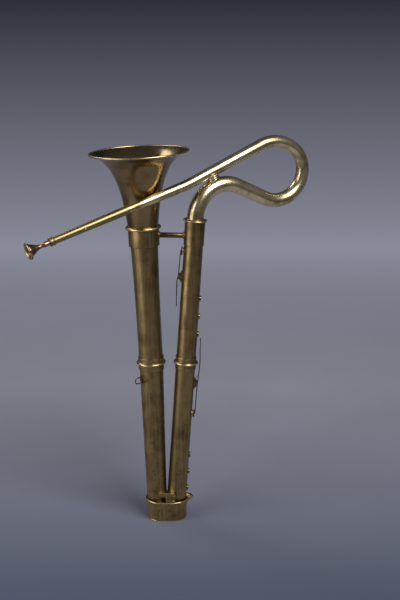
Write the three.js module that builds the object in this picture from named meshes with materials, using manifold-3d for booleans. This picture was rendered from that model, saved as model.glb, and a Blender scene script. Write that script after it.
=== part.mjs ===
// An English bass horn of the serpent family, all brass: two limbs in a narrow V on a short oval butt,
// a flared bell on the wide limb, and a looped crook with a cup mouthpiece on the narrow limb.
// Millimetres and degrees. +Z is up, +X is towards the narrow limb, -Y is the side with the mouthpiece.
// The origin is the centre of the butt's flat base.

import * as THREE from 'three';
import { mergeVertices } from 'three/addons/utils/BufferGeometryUtils.js';
import Module from 'manifold-3d';

const wasm = await Module();
wasm.setup();

// Driving sizes shared by several pieces
const sheet = 0.8;
const fit = 0.3;
const overrun = 4;

// The limbs: radii are of the outside, lengths run from the butt's top plate
const footGap = 0.5;
const wideFootRadius = 23;
const wideMiddleRadius = 27.3;
const wideTopRadius = 32.8;
const wideLowerLength = 338;
const wideUpperLength = 318;
const wideLean = 1.66;
const wideBend = 0.86;
const wideSwellPower = 3;
const narrowFootRadius = 22.6;
const narrowMiddleRadius = 22.3;
const narrowTopRadius = 20.9;
const socketAboveBell = 12.4;
const narrowLean = 3.84;
const tenonLength = 14;

// The butt
const basePlateThickness = 3;
const basePlateChamfer = 0.8;
const buttWallHeight = 39.2;
const buttWallThickness = 1.2;
const buttDepthMargin = 9.4;
const topPlateThickness = 2.5;
const spigotRise = 10;
const spigotDrop = 1.2;

// The collar round the butt's upper edge: it reaches lower at the ends, and one end is flared out
const collarThickness = 1.6;
const collarRise = 5;
const collarDrop = 1;
const collarEndDrop = 9;
const collarLip = 1.2;
const collarFlare = 11.5;
const collarFlarePower = 5;

// The bracket that ties the limbs to the collar
const bracketBarLength = 39;
const bracketBarHeight = 10;
const bracketBarThickness = 3;
const bracketBarLevel = 20.5;
const bracketTongueWidth = 23;
const bracketTongueThickness = 2;
const bracketTongueOffset = 9.5;
const bracketTongueStraight = 10;
const screwHeadRadius = 2.1;
const screwHeadHeight = 1.3;
const screwShankRadius = 1.1;
const screwLength = 4.5;
const tongueScrewOffset = 16.5;
const tongueScrewRise = 7.2;
const leftScrewTurn = 235;
const rightScrewTurn = -77;

// Ferrules: a sleeve with a bead round it
const ferruleThickness = 1.1;
const middleBeadRadius = 2.6;
const bellBeadRadius = 3.2;
const socketBeadRadius = 2.2;
const beadStandShare = 0.75;
const middleSleeveLength = 13;
const middleCollarLength = 12;
const bellSleeveLength = 44;
const socketSleeveLength = 56;

// The bell: its flare follows a Bessel horn, from the neck to the lip
const bellHeight = 161;
const bellNeckRadius = 34;
const bellLipRadius = 106;
const bellFlarePower = 0.6;
const bellTenonLength = 25;
const bellTenonFit = 0.6;
const rimWireRadius = 2;

// The crook's path, from its socket to its tip: straight runs, and bends with their radius and turn
const crookTenonLength = 30;
const crookTenonRise = 2;
const crookRiseHeight = 6.3;
const neckBendRadius = 73.3;
const neckBendTurn = -111.2;
const fallRunLength = 83.2;
const dipBendRadius = 73.7;
const dipBendTurn = 42.8;
const loopBendRadius = 63.9;
const loopBendTurn = 120.1;
const crownBendRadius = 90;
const crownBendTurn = 64;
const backRunLength = 188.5;
const easeBendRadius = 162;
const easeBendTurn = -5.6;
const mouthRunLength = 324;
const crookBaseRadius = 18.6;
const crookTipRadius = 7.7;
const crookBellDistance = 3;

// The stay between the two stretches of the crook, and the stud near its tip
const stayEaseDistance = 53;
const stayRadius = 12.6;
const stayMouldingHeight = 1.5;
const stayMouldings = 3;
const stayTop = 3;
const stayFoot = 26;
const stayFootRadius = 15;
const studTipDistance = 78;
const studRadius = 1.8;

// The mouthpiece and its receiver
const receiverLength = 10;
const receiverThickness = 0.8;
const receiverBeadRadius = 1.5;
const receiverLip = 1.6;
const mouthpieceReach = 50;
const mouthpieceRimRadius = 19;
const shankRadius = 5.6;
const shankDepth = 20;
const shankBoreRadius = 3.4;
const throatRadius = 2.6;
const shankTaperShare = 0.86;

// The brace between the limbs
const braceRadius = 5.9;
const braceBellDistance = 19.7;
const braceDropHeight = 2.4;
const braceFlangeRadius = 8.5;
const braceFlangeThickness = 2.6;

// Finger holes, in two sets of three on the narrow limb
const holeRadius = 4.4;
const bushRadius = 6.4;
const bushHeight = 3.1;
const bushLipRadius = 1;
const lowerHoleStart = 30;
const upperHoleStart = 70.5;
const holePitch = 42;
const holesInSet = 3;

// The strap eye and its ring, on the wide limb
const strapJointDistance = 33;
const strapTurn = 222;
const strapPlateHalfWidth = 18;
const strapPlateHalfHeight = 11;
const strapPlateThickness = 1.6;
const knuckleRadius = 2.7;
const knuckleHeight = 10;
const strapWireRadius = 1.3;
const strapLoopHalfHeight = 6.8;
const strapCornerRadius = 1.5;
const strapLoopLength = 9;

// Keys: heights are above the limb's surface, places are along the limb from the pivot
const leverWidth = 6.4;
const leverThickness = 2.2;
const pinRadius = 1.1;
const pinHeadRadius = 1.9;
const pinHeadThickness = 0.8;
const barrelRadius = 2.3;
const cheekThickness = 1.7;
const saddleLength = 25;
const saddleFootThickness = 1.4;
const saddleCrownShare = 0.45;
const seatHeight = 1.6;
const seatWall = 1.5;
const padThickness = 1.9;
const cupThickness = 0.9;
const cupCrown = 0.8;
const springWidth = 4;
const springThickness = 0.6;

const thumbKey = {
  name: 'thumb_key',
  belowSocket: 129.3,
  turn: 180,
  cupAt: 59,
  touchAt: 69,
  cupRadius: 10.4,
  toneHoleRadius: 6,
  pinHeight: 6,
  cheekHeight: 8.4,
  leverHeight: 8.4,
  bowHeight: 10.6,
  bowAt: 13,
  touchHeight: 8.9,
  touchWidth: 9,
  touchLength: 26,
  springReach: 24,
};
const fingerKey = {
  name: 'finger_key',
  belowJoint: 47.5,
  turn: 0,
  cupAt: 74,
  touchAt: 108,
  cupRadius: 9.2,
  toneHoleRadius: 5,
  pinHeight: 5.2,
  cheekHeight: 7.5,
  leverHeight: 7.6,
  bowHeight: 10,
  bowAt: 47,
  touchHeight: 8.2,
  touchWidth: 11,
  touchLength: 24,
  springReach: 19,
};

// Facets
const limbSides = 22;
const bellSides = 32;
const bellSteps = 8;
const crookSides = 14;
const turningSides = 18;
const smallSides = 12;
const wireSides = 6;
const beadSteps = 4;
const swellSteps = 4;
const bendStep = 18;
const wireBendStep = 30;
const ovalEndSides = 9;
const collarSteps = 36;

// Finishes
const dullBrass = new THREE.MeshStandardMaterial({ color: 0x6e5c30, roughness: 0.45, metalness: 1 });
const brightBrass = new THREE.MeshStandardMaterial({ color: 0xb49a5c, roughness: 0.25, metalness: 1 });
const darkBrass = new THREE.MeshStandardMaterial({ color: 0x43382a, roughness: 0.5, metalness: 1 });
const springSteel = new THREE.MeshStandardMaterial({ color: 0x4a4c55, roughness: 0.4, metalness: 1 });
const leather = new THREE.MeshStandardMaterial({ color: 0xb9a37e, roughness: 0.9, metalness: 0 });

const radians = THREE.MathUtils.degToRad;
const lerp = THREE.MathUtils.lerp;

// Turns an indexed or loose geometry inside out if its faces point inwards.
function facingOut(geometry) {
  const merged = geometry.clone();
  merged.deleteAttribute('normal');
  merged.deleteAttribute('uv');
  const welded = mergeVertices(merged, 1e-4);
  const at = welded.attributes.position;
  const corners = Array.from(welded.index.array);
  const a = new THREE.Vector3();
  const b = new THREE.Vector3();
  const c = new THREE.Vector3();
  const faces = [];
  let volume = 0;
  for (let i = 0; i < corners.length; i += 3) {
    const [p, q, r] = corners.slice(i, i + 3);
    if (p === q || q === r || r === p) continue;
    faces.push([p, q, r]);
    a.fromBufferAttribute(at, p);
    b.fromBufferAttribute(at, q);
    c.fromBufferAttribute(at, r);
    volume += a.dot(b.cross(c));
  }
  welded.setIndex(faces.flatMap(([p, q, r]) => (volume < 0 ? [p, r, q] : [p, q, r])));
  return welded;
}

function solidOf(geometry) {
  const closed = facingOut(geometry);
  return new wasm.Manifold(new wasm.Mesh({
    numProp: 3,
    vertProperties: closed.attributes.position.array,
    triVerts: new Uint32Array(closed.index.array),
  }));
}

function geometryOf(solid) {
  const mesh = solid.getMesh();
  const geometry = new THREE.BufferGeometry();
  geometry.setAttribute('position', new THREE.BufferAttribute(new Float32Array(mesh.vertProperties), 3));
  geometry.setIndex(Array.from(mesh.triVerts));
  return geometry;
}

// Cuts a geometry by others, all in one frame.
function cutBy(geometry, ...cutters) {
  let solid = solidOf(geometry);
  for (const cutter of cutters) solid = solid.subtract(solidOf(cutter));
  return geometryOf(solid);
}

function joined(...pieces) {
  let solid = solidOf(pieces[0]);
  for (const piece of pieces.slice(1)) solid = solid.add(solidOf(piece));
  return geometryOf(solid);
}

// Revolves a closed outline of [radius, height] pairs about Z.
function turned(outline, sides) {
  const points = outline.map(([r, z]) => new THREE.Vector2(r, z));
  if (outline[0][0] > 0 || outline.at(-1)[0] > 0) points.push(points[0].clone());
  return facingOut(new THREE.LatheGeometry(points, sides).rotateX(radians(90)));
}

function rod(radius, from, to, sides) {
  return turned([[0, from], [radius, from], [radius, to], [0, to]], sides);
}

// Skins rings of points; a closed skin runs back into its first ring, an open one gets flat ends.
function skin(rings, closed) {
  const count = rings[0].length;
  const points = rings.flat();
  const faces = [];
  const bands = closed ? rings.length : rings.length - 1;
  for (let band = 0; band < bands; band++) {
    const low = band * count;
    const high = ((band + 1) % rings.length) * count;
    for (let k = 0; k < count; k++) {
      const next = (k + 1) % count;
      faces.push(low + k, low + next, high + next, low + k, high + next, high + k);
    }
  }
  if (!closed) {
    const last = (rings.length - 1) * count;
    for (let k = 1; k < count - 1; k++) {
      faces.push(0, k + 1, k, last, last + k, last + k + 1);
    }
  }
  const geometry = new THREE.BufferGeometry().setFromPoints(points);
  geometry.setIndex(faces);
  return facingOut(geometry);
}

// A path in the XZ plane from runs and bends; each stop has its place, heading and distance travelled.
function route(heading, moves, stepTurn = bendStep) {
  const stops = [{ x: 0, z: 0, heading, travelled: 0 }];
  for (const { run, radius, turn } of moves) {
    const steps = run === undefined ? Math.ceil(Math.abs(turn) / stepTurn) : 1;
    for (let i = 0; i < steps; i++) {
      const from = stops.at(-1);
      if (run !== undefined) {
        stops.push({
          x: from.x + run * Math.cos(from.heading),
          z: from.z + run * Math.sin(from.heading),
          heading: from.heading,
          travelled: from.travelled + run,
        });
        continue;
      }
      const step = radians(turn) / steps;
      const side = Math.sign(turn) * radius;
      stops.push({
        x: from.x + side * (Math.sin(from.heading + step) - Math.sin(from.heading)),
        z: from.z - side * (Math.cos(from.heading + step) - Math.cos(from.heading)),
        heading: from.heading + step,
        travelled: from.travelled + Math.abs(step) * radius,
      });
    }
  }
  return stops;
}

// The stop at a distance along a route, on its chords.
function stopAt(stops, travelled) {
  const after = Math.max(1, stops.findIndex((stop) => stop.travelled >= travelled));
  const a = stops[after - 1];
  const b = stops[after];
  const share = (travelled - a.travelled) / (b.travelled - a.travelled);
  return {
    x: lerp(a.x, b.x, share),
    z: lerp(a.z, b.z, share),
    heading: lerp(a.heading, b.heading, share),
    travelled,
  };
}

// A ring of points about a stop: each section point is [offset to the path's left, offset along Y].
function ringAt(stop, section) {
  const left = new THREE.Vector3(-Math.sin(stop.heading), 0, Math.cos(stop.heading));
  return section.map(([aside, across]) => (
    new THREE.Vector3(stop.x, 0, stop.z).addScaledVector(left, aside).setY(across)
  ));
}

function circle(radius, sides) {
  return Array.from({ length: sides }, (_, k) => {
    const angle = (2 * Math.PI * k) / sides;
    return [radius * Math.cos(angle), radius * Math.sin(angle)];
  });
}

const horn = new THREE.Group();

function add(parent, name, geometry, material) {
  const mesh = new THREE.Mesh(geometry, material);
  mesh.name = name;
  parent.add(mesh);
  return mesh;
}

function group(parent, x, y, z) {
  const made = new THREE.Group();
  made.position.set(x, y, z);
  parent.add(made);
  return made;
}

// A geometry that is modelled in one group, seen from another.
function carried(geometry, from, to) {
  horn.updateMatrixWorld(true);
  const change = to.matrixWorld.clone().invert().multiply(from.matrixWorld);
  return geometry.clone().applyMatrix4(change);
}

// Levels and places that follow from the driving sizes
const topPlateFloor = basePlateThickness + fit + buttWallHeight + fit;
const plateTop = topPlateFloor + topPlateThickness;
const buttHalfWidth = 2 * wideFootRadius + footGap / 2 + fit;
const buttHalfDepth = wideFootRadius + buttDepthMargin;

const wideJointLevel = plateTop + wideLowerLength * Math.cos(radians(wideLean));
const narrowLowerLength = (wideJointLevel - plateTop) / Math.cos(radians(narrowLean));

const wideLower = group(horn, -(wideFootRadius + footGap / 2), 0, plateTop);
wideLower.rotation.y = -radians(wideLean);
const wideJointGap = fit + wideMiddleRadius * Math.tan(radians(wideBend));
const wideUpper = group(wideLower, 0, 0, wideLowerLength + wideJointGap);
wideUpper.rotation.y = -radians(wideBend);
const narrow = group(horn, narrowFootRadius + footGap / 2, 0, plateTop);
narrow.rotation.y = radians(narrowLean);
const narrowUpper = group(narrow, 0, 0, narrowLowerLength + fit);
horn.updateMatrixWorld(true);
const bellJointLevel = wideUpper.localToWorld(new THREE.Vector3(0, 0, wideUpperLength)).z;
const socketLevel = bellJointLevel + socketAboveBell;
const narrowLength = (socketLevel - plateTop) / Math.cos(radians(narrowLean));
const narrowUpperLength = narrowLength - narrowLowerLength - fit;

const wideLowerRadius = (z) => lerp(wideFootRadius, wideMiddleRadius, z / wideLowerLength);
const wideUpperRadius = (z) => (
  lerp(wideMiddleRadius, wideTopRadius, (z / wideUpperLength) ** wideSwellPower)
);
const narrowLowerRadius = (z) => lerp(narrowFootRadius, narrowMiddleRadius, z / narrowLowerLength);
const narrowUpperRadius = (z) => lerp(narrowMiddleRadius, narrowTopRadius, z / narrowUpperLength);

// A solid of a limb's outside with a margin, for seating pieces on it.
function envelope(radiusAt, length, margin, steps, sides = limbSides) {
  const outline = [[0, 0]];
  for (let i = 0; i <= steps; i++) {
    const z = (length * i) / steps;
    outline.push([radiusAt(z) + margin, z]);
  }
  outline.push([0, length]);
  return turned(outline, sides);
}

// Butt: an oval box of sheet brass that carries the wind from the narrow limb to the wide one
function oval(halfWidth, halfDepth) {
  const endCentre = halfWidth - halfDepth;
  const outline = new THREE.Shape();
  outline.absarc(endCentre, 0, halfDepth, radians(-90), radians(90), false);
  outline.absarc(-endCentre, 0, halfDepth, radians(90), radians(270), false);
  return outline;
}

const basePlateFlat = basePlateThickness - 2 * basePlateChamfer;
const basePlate = new THREE.ExtrudeGeometry(oval(buttHalfWidth, buttHalfDepth), {
  depth: basePlateFlat,
  bevelThickness: basePlateChamfer,
  bevelSize: basePlateChamfer,
  bevelOffset: -basePlateChamfer,
  bevelSegments: 1,
  curveSegments: ovalEndSides,
});
basePlate.translate(0, 0, basePlateChamfer);
add(horn, 'butt_base_plate', facingOut(basePlate), dullBrass);

const wallOutline = oval(buttHalfWidth, buttHalfDepth);
wallOutline.holes.push(oval(buttHalfWidth - buttWallThickness, buttHalfDepth - buttWallThickness));
const buttWall = new THREE.ExtrudeGeometry(wallOutline, {
  depth: buttWallHeight,
  bevelEnabled: false,
  curveSegments: ovalEndSides,
});
buttWall.translate(0, 0, basePlateThickness + fit);
add(horn, 'butt_wall', facingOut(buttWall), dullBrass);

// Spigots: short tubes in the top plate, over which the feet of the limbs slip
const spigots = [
  { name: 'butt_spigot_wide', limb: wideLower, radius: wideFootRadius - sheet - fit },
  { name: 'butt_spigot_narrow', limb: narrow, radius: narrowFootRadius - sheet - fit },
];
const spigotBottom = -(topPlateThickness + spigotDrop);
let topPlate = new THREE.ExtrudeGeometry(oval(buttHalfWidth, buttHalfDepth), {
  depth: topPlateThickness,
  bevelEnabled: false,
  curveSegments: ovalEndSides,
}).translate(0, 0, topPlateFloor);
for (const { name, limb, radius } of spigots) {
  const tube = turned([
    [radius - sheet, spigotBottom], [radius, spigotBottom],
    [radius, spigotRise], [radius - sheet, spigotRise],
  ], limbSides);
  add(limb, name, tube, dullBrass);
  const hole = rod(radius + fit, spigotBottom - overrun, spigotRise, limbSides);
  topPlate = cutBy(topPlate, carried(hole, limb, horn));
}
add(horn, 'butt_top_plate', topPlate, dullBrass);

// Collar: a band round the top of the butt, deeper at its ends and flared out under the narrow limb
function ovalPoint(angle, grow) {
  const endCentre = buttHalfWidth - buttHalfDepth;
  const perimeterSide = 2 * endCentre;
  const perimeterEnd = Math.PI * buttHalfDepth;
  const whole = 2 * (perimeterSide + perimeterEnd);
  const along = (((angle / (2 * Math.PI)) * whole) + whole + perimeterEnd / 2) % whole;
  const radius = buttHalfDepth + grow;
  if (along < perimeterEnd) {
    const turn = along / buttHalfDepth - Math.PI / 2;
    return [endCentre + radius * Math.cos(turn), radius * Math.sin(turn)];
  }
  if (along < perimeterEnd + perimeterSide) return [endCentre - (along - perimeterEnd), radius];
  if (along < 2 * perimeterEnd + perimeterSide) {
    const turn = (along - perimeterEnd - perimeterSide) / buttHalfDepth + Math.PI / 2;
    return [-endCentre + radius * Math.cos(turn), radius * Math.sin(turn)];
  }
  return [-endCentre + (along - 2 * perimeterEnd - perimeterSide), -radius];
}

const collarProfileShares = [[0, 0], [0.5, 0.18], [1, 1]];

// The collar's section at an angle round the butt: heights, and how far each stands out of the oval
function collarSection(angle) {
  const endShare = Math.cos(angle) ** 2;
  const flareShare = Math.max(0, Math.cos(angle / 2)) ** (2 * collarFlarePower);
  const top = plateTop + collarRise;
  const bottom = topPlateFloor - collarDrop - collarEndDrop * endShare;
  const spread = collarLip + collarFlare * flareShare;
  return collarProfileShares.map(([riseShare, spreadShare]) => (
    { z: lerp(bottom, top, riseShare), grow: fit + spread * spreadShare }
  ));
}

const collarAngles = Array.from({ length: collarSteps }, (_, i) => (2 * Math.PI * i) / collarSteps);
const collarRings = collarAngles.map((angle) => {
  const section = collarSection(angle);
  const inner = section.map(({ z, grow }) => [grow, z]);
  const outer = section.map(({ z, grow }) => [grow + collarThickness, z]).reverse();
  return [...inner, ...outer].map(([grow, z]) => {
    const [x, y] = ovalPoint(angle, grow);
    return new THREE.Vector3(x, y, z);
  });
});
const aroundCollar = skin(collarProfileShares.map((_, level) => collarAngles.map((angle) => {
  const { z, grow } = collarSection(angle)[level];
  const [x, y] = ovalPoint(angle, grow + collarThickness + fit);
  return new THREE.Vector3(x, y, z);
})), false);

// Collar screws: each stands square to the oval at one of its round ends
const buttEndCentre = buttHalfWidth - buttHalfDepth;
const collarScrewLevel = plateTop + screwShankRadius + fit;
const collarScrews = [
  { name: 'butt_collar_screw_left', x: -buttEndCentre, turn: leftScrewTurn },
  { name: 'butt_collar_screw_right', x: buttEndCentre, turn: rightScrewTurn },
];
const collarFace = buttHalfDepth + fit + collarThickness;
const shankHole = (from, to) => rod(screwShankRadius + fit, from, to, smallSides).rotateY(radians(90));
const shankHoles = [];
for (const { name, x, turn } of collarScrews) {
  const place = group(horn, x, 0, collarScrewLevel);
  place.rotation.z = radians(turn);
  const headTop = collarFace + collarLip + screwHeadHeight;
  const head = cutBy(
    rod(screwHeadRadius, collarFace - screwHeadRadius, headTop, smallSides).rotateY(radians(90)),
    carried(aroundCollar, horn, place),
  );
  const shank = rod(screwShankRadius, collarFace - screwLength, headTop - screwHeadHeight / 2, smallSides);
  add(place, name, joined(head, shank.rotateY(radians(90))), darkBrass);
  shankHoles.push(carried(shankHole(collarFace - screwLength - overrun, headTop), place, horn));
}
add(horn, 'butt_collar', cutBy(skin(collarRings, true), ...shankHoles), dullBrass);

// Limbs: conical tubes of sheet brass. The lower halves stand on the top plate, cut flush with it
const belowPlate = new THREE.BoxGeometry(
  4 * buttHalfWidth,
  4 * buttHalfDepth,
  2 * plateTop,
).translate(0, 0, fit);

function coneTube(foot, top, length) {
  return turned([
    [foot - sheet, -overrun], [foot, -overrun], [foot, 0], [top, length], [top - sheet, length],
    [foot - sheet, 0],
  ], limbSides);
}

// An upper half has a tenon that slips into the half below.
function tenonTube(tenonRadius, tenon, radiusAt, length, steps) {
  const outside = [];
  const inside = [];
  for (let i = 0; i <= steps; i++) {
    const z = (length * i) / steps;
    outside.push([radiusAt(z), z]);
    inside.unshift([radiusAt(z) - sheet, Math.max(z, sheet)]);
  }
  return turned([
    [tenonRadius - sheet, -tenon], [tenonRadius, -tenon], [tenonRadius, 0], ...outside, ...inside,
    [tenonRadius - sheet, sheet],
  ], limbSides);
}

const wideLowerTube = cutBy(
  coneTube(wideFootRadius, wideMiddleRadius, wideLowerLength),
  carried(belowPlate, horn, wideLower),
);
add(wideLower, 'wide_lower_limb', wideLowerTube, dullBrass);

const wideTenonRadius = wideMiddleRadius - sheet - fit - tenonLength * Math.tan(radians(wideBend));
const wideUpperTube = tenonTube(wideTenonRadius, tenonLength, wideUpperRadius, wideUpperLength, swellSteps);
add(wideUpper, 'wide_upper_limb', wideUpperTube, dullBrass);

// Ferrules: sleeves with a bead, soldered over each joint
function ferrule({ bore, sleeveLength, beadRadius, beadAt, collarLength, lipRadius }) {
  const outside = bore + ferruleThickness;
  const stand = beadRadius * beadStandShare;
  const open = Math.acos(beadStandShare);
  const bead = [];
  for (let i = 0; i <= beadSteps; i++) {
    const angle = lerp(open - Math.PI, Math.PI - open, i / beadSteps);
    bead.push([outside + stand + beadRadius * Math.cos(angle), beadAt + beadRadius * Math.sin(angle)]);
  }
  const top = beadAt + beadRadius + collarLength;
  const outline = [[bore, -sleeveLength], [outside, -sleeveLength], ...bead];
  if (lipRadius === bore) outline.push([outside, top], [bore, top]);
  if (lipRadius < bore) outline.push([lipRadius, bead.at(-1)[1]], [lipRadius, fit], [bore, fit]);
  return turned(outline, limbSides);
}

const wideMiddleBore = wideMiddleRadius + wideJointGap;
const wideMiddle = group(wideLower, 0, 0, wideLowerLength);
const wideMiddleFerrule = ferrule({
  bore: wideMiddleBore,
  sleeveLength: middleSleeveLength,
  beadRadius: middleBeadRadius,
  beadAt: middleBeadRadius,
  collarLength: middleCollarLength,
  lipRadius: wideMiddleBore,
});
add(wideMiddle, 'wide_middle_ferrule', wideMiddleFerrule, brightBrass);

const bellJoint = group(wideUpper, 0, 0, wideUpperLength);
const bellFerruleBore = wideTopRadius + fit;
const bellFerrule = ferrule({
  bore: bellFerruleBore,
  sleeveLength: bellSleeveLength,
  beadRadius: bellBeadRadius,
  beadAt: -bellBeadRadius,
  collarLength: 0,
  lipRadius: bellFerruleBore,
});
add(bellJoint, 'bell_ferrule', bellFerrule, brightBrass);

// Narrow limb, with six finger holes and two tone holes under the keys
const narrowMiddleBore = narrowMiddleRadius + fit;
const narrowMiddle = group(narrow, 0, 0, narrowLowerLength);
const narrowMiddleFerrule = ferrule({
  bore: narrowMiddleBore,
  sleeveLength: middleSleeveLength,
  beadRadius: middleBeadRadius,
  beadAt: middleBeadRadius,
  collarLength: middleCollarLength,
  lipRadius: narrowMiddleBore,
});
add(narrowMiddle, 'narrow_middle_ferrule', narrowMiddleFerrule, brightBrass);

const socket = group(narrowUpper, 0, 0, narrowUpperLength);
const socketSleeveFoot = narrowUpperRadius(narrowUpperLength - socketSleeveLength);
const socketBore = Math.max(narrowTopRadius, socketSleeveFoot) + fit;
const crookTenonRadius = narrowTopRadius - sheet - fit;
const socketFerrule = ferrule({
  bore: socketBore,
  sleeveLength: socketSleeveLength,
  beadRadius: socketBeadRadius,
  beadAt: 0,
  collarLength: 0,
  lipRadius: crookTenonRadius + fit,
});
add(socket, 'crook_socket_ferrule', socketFerrule, brightBrass);

// A place on a limb: X points out of the limb at the given turn, Z along it.
function station(limb, level, turn) {
  const made = group(limb, 0, 0, level);
  made.rotation.z = radians(turn);
  return made;
}

const narrowLowerSkin = envelope(narrowLowerRadius, narrowLowerLength, fit, 1);
const narrowUpperSkin = envelope(narrowUpperRadius, narrowUpperLength, fit, 1);
const narrowHalves = [
  { limb: narrow, skin: narrowLowerSkin, radiusAt: narrowLowerRadius },
  { limb: narrowUpper, skin: narrowUpperSkin, radiusAt: narrowUpperRadius },
];
const holesInHalves = [[], []];

// The half of the narrow limb that holds a level, and the level along that half
function halfAt(level) {
  const upper = level > narrowLowerLength;
  return {
    ...narrowHalves[upper ? 1 : 0],
    holes: holesInHalves[upper ? 1 : 0],
    local: upper ? level - narrowLowerLength - fit : level,
  };
}

// A rod of air through the wall at a station, pointing along X
function boreThrough(radius, from, to) {
  return rod(radius, from, to, smallSides).rotateY(radians(90));
}

const holeStarts = [lowerHoleStart, narrowLowerLength + upperHoleStart];
for (const [set, start] of holeStarts.entries()) {
  for (let k = 0; k < holesInSet; k++) {
    const { limb, skin: limbSkin, radiusAt, holes, local } = halfAt(start + k * holePitch);
    const surface = radiusAt(local);
    const place = station(limb, local, 0);
    const rim = surface + bushHeight;
    const bush = turned([
      [holeRadius, surface - bushRadius], [bushRadius, surface - bushRadius],
      [bushRadius, rim - bushLipRadius], [bushRadius - bushLipRadius, rim], [holeRadius, rim],
    ], smallSides).rotateY(radians(90));
    const number = set * holesInSet + k + 1;
    add(place, `finger_hole_bush_${number}`, cutBy(bush, carried(limbSkin, limb, place)), dullBrass);
    holes.push(carried(boreThrough(holeRadius, 0, rim), place, limb));
  }
}

// Keys. A key is modelled with X out of the limb, Z from the pivot towards its cup, Y across.
const across = radians(90);

function keyHeightLine(key) {
  return [
    [key.stackHeight, key.cupAt],
    [key.stackHeight, key.cupAt - key.cupRadius / 2],
    [lerp(key.stackHeight, key.leverHeight, 0.3), key.cupAt - key.cupRadius - cupThickness],
    [lerp(key.stackHeight, key.leverHeight, 0.6), saddleLength / 2],
    [key.leverHeight, 0],
    [key.bowHeight, -key.bowAt],
    [key.touchHeight, -(key.touchAt - key.touchLength)],
    [key.touchHeight, -(key.touchAt - key.touchLength / 2)],
    [key.touchHeight - leverThickness / 2, -key.touchAt],
  ];
}

function leverOf(key, surface) {
  const points = keyHeightLine(key).map(([height, along]) => (
    new THREE.Vector3(surface + height, 0, along)
  ));
  const curve = new THREE.CatmullRomCurve3(points);
  const count = 22;
  const rings = [];
  for (let i = 0; i <= count; i++) {
    const spot = curve.getPointAt(i / count);
    const way = curve.getTangentAt(i / count);
    const intoTouch = (-spot.z - (key.touchAt - key.touchLength)) / key.touchLength;
    const swell = intoTouch > 0 ? Math.sin(Math.PI * Math.min(1, intoTouch * 0.9)) : 0;
    const half = lerp(leverWidth, key.touchWidth, swell) / 2;
    const edge = leverThickness / 2;
    const heading = Math.atan2(way.z, way.x);
    const stop = { x: spot.x, z: spot.z, heading };
    rings.push(ringAt(stop, [
      [edge, -half * 0.7], [edge * 0.3, -half], [-edge, -half], [-edge, half], [edge * 0.3, half],
      [edge, half * 0.7],
    ].map(([aside, width]) => [-aside, width])));
  }
  return skin(rings, false);
}

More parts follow.
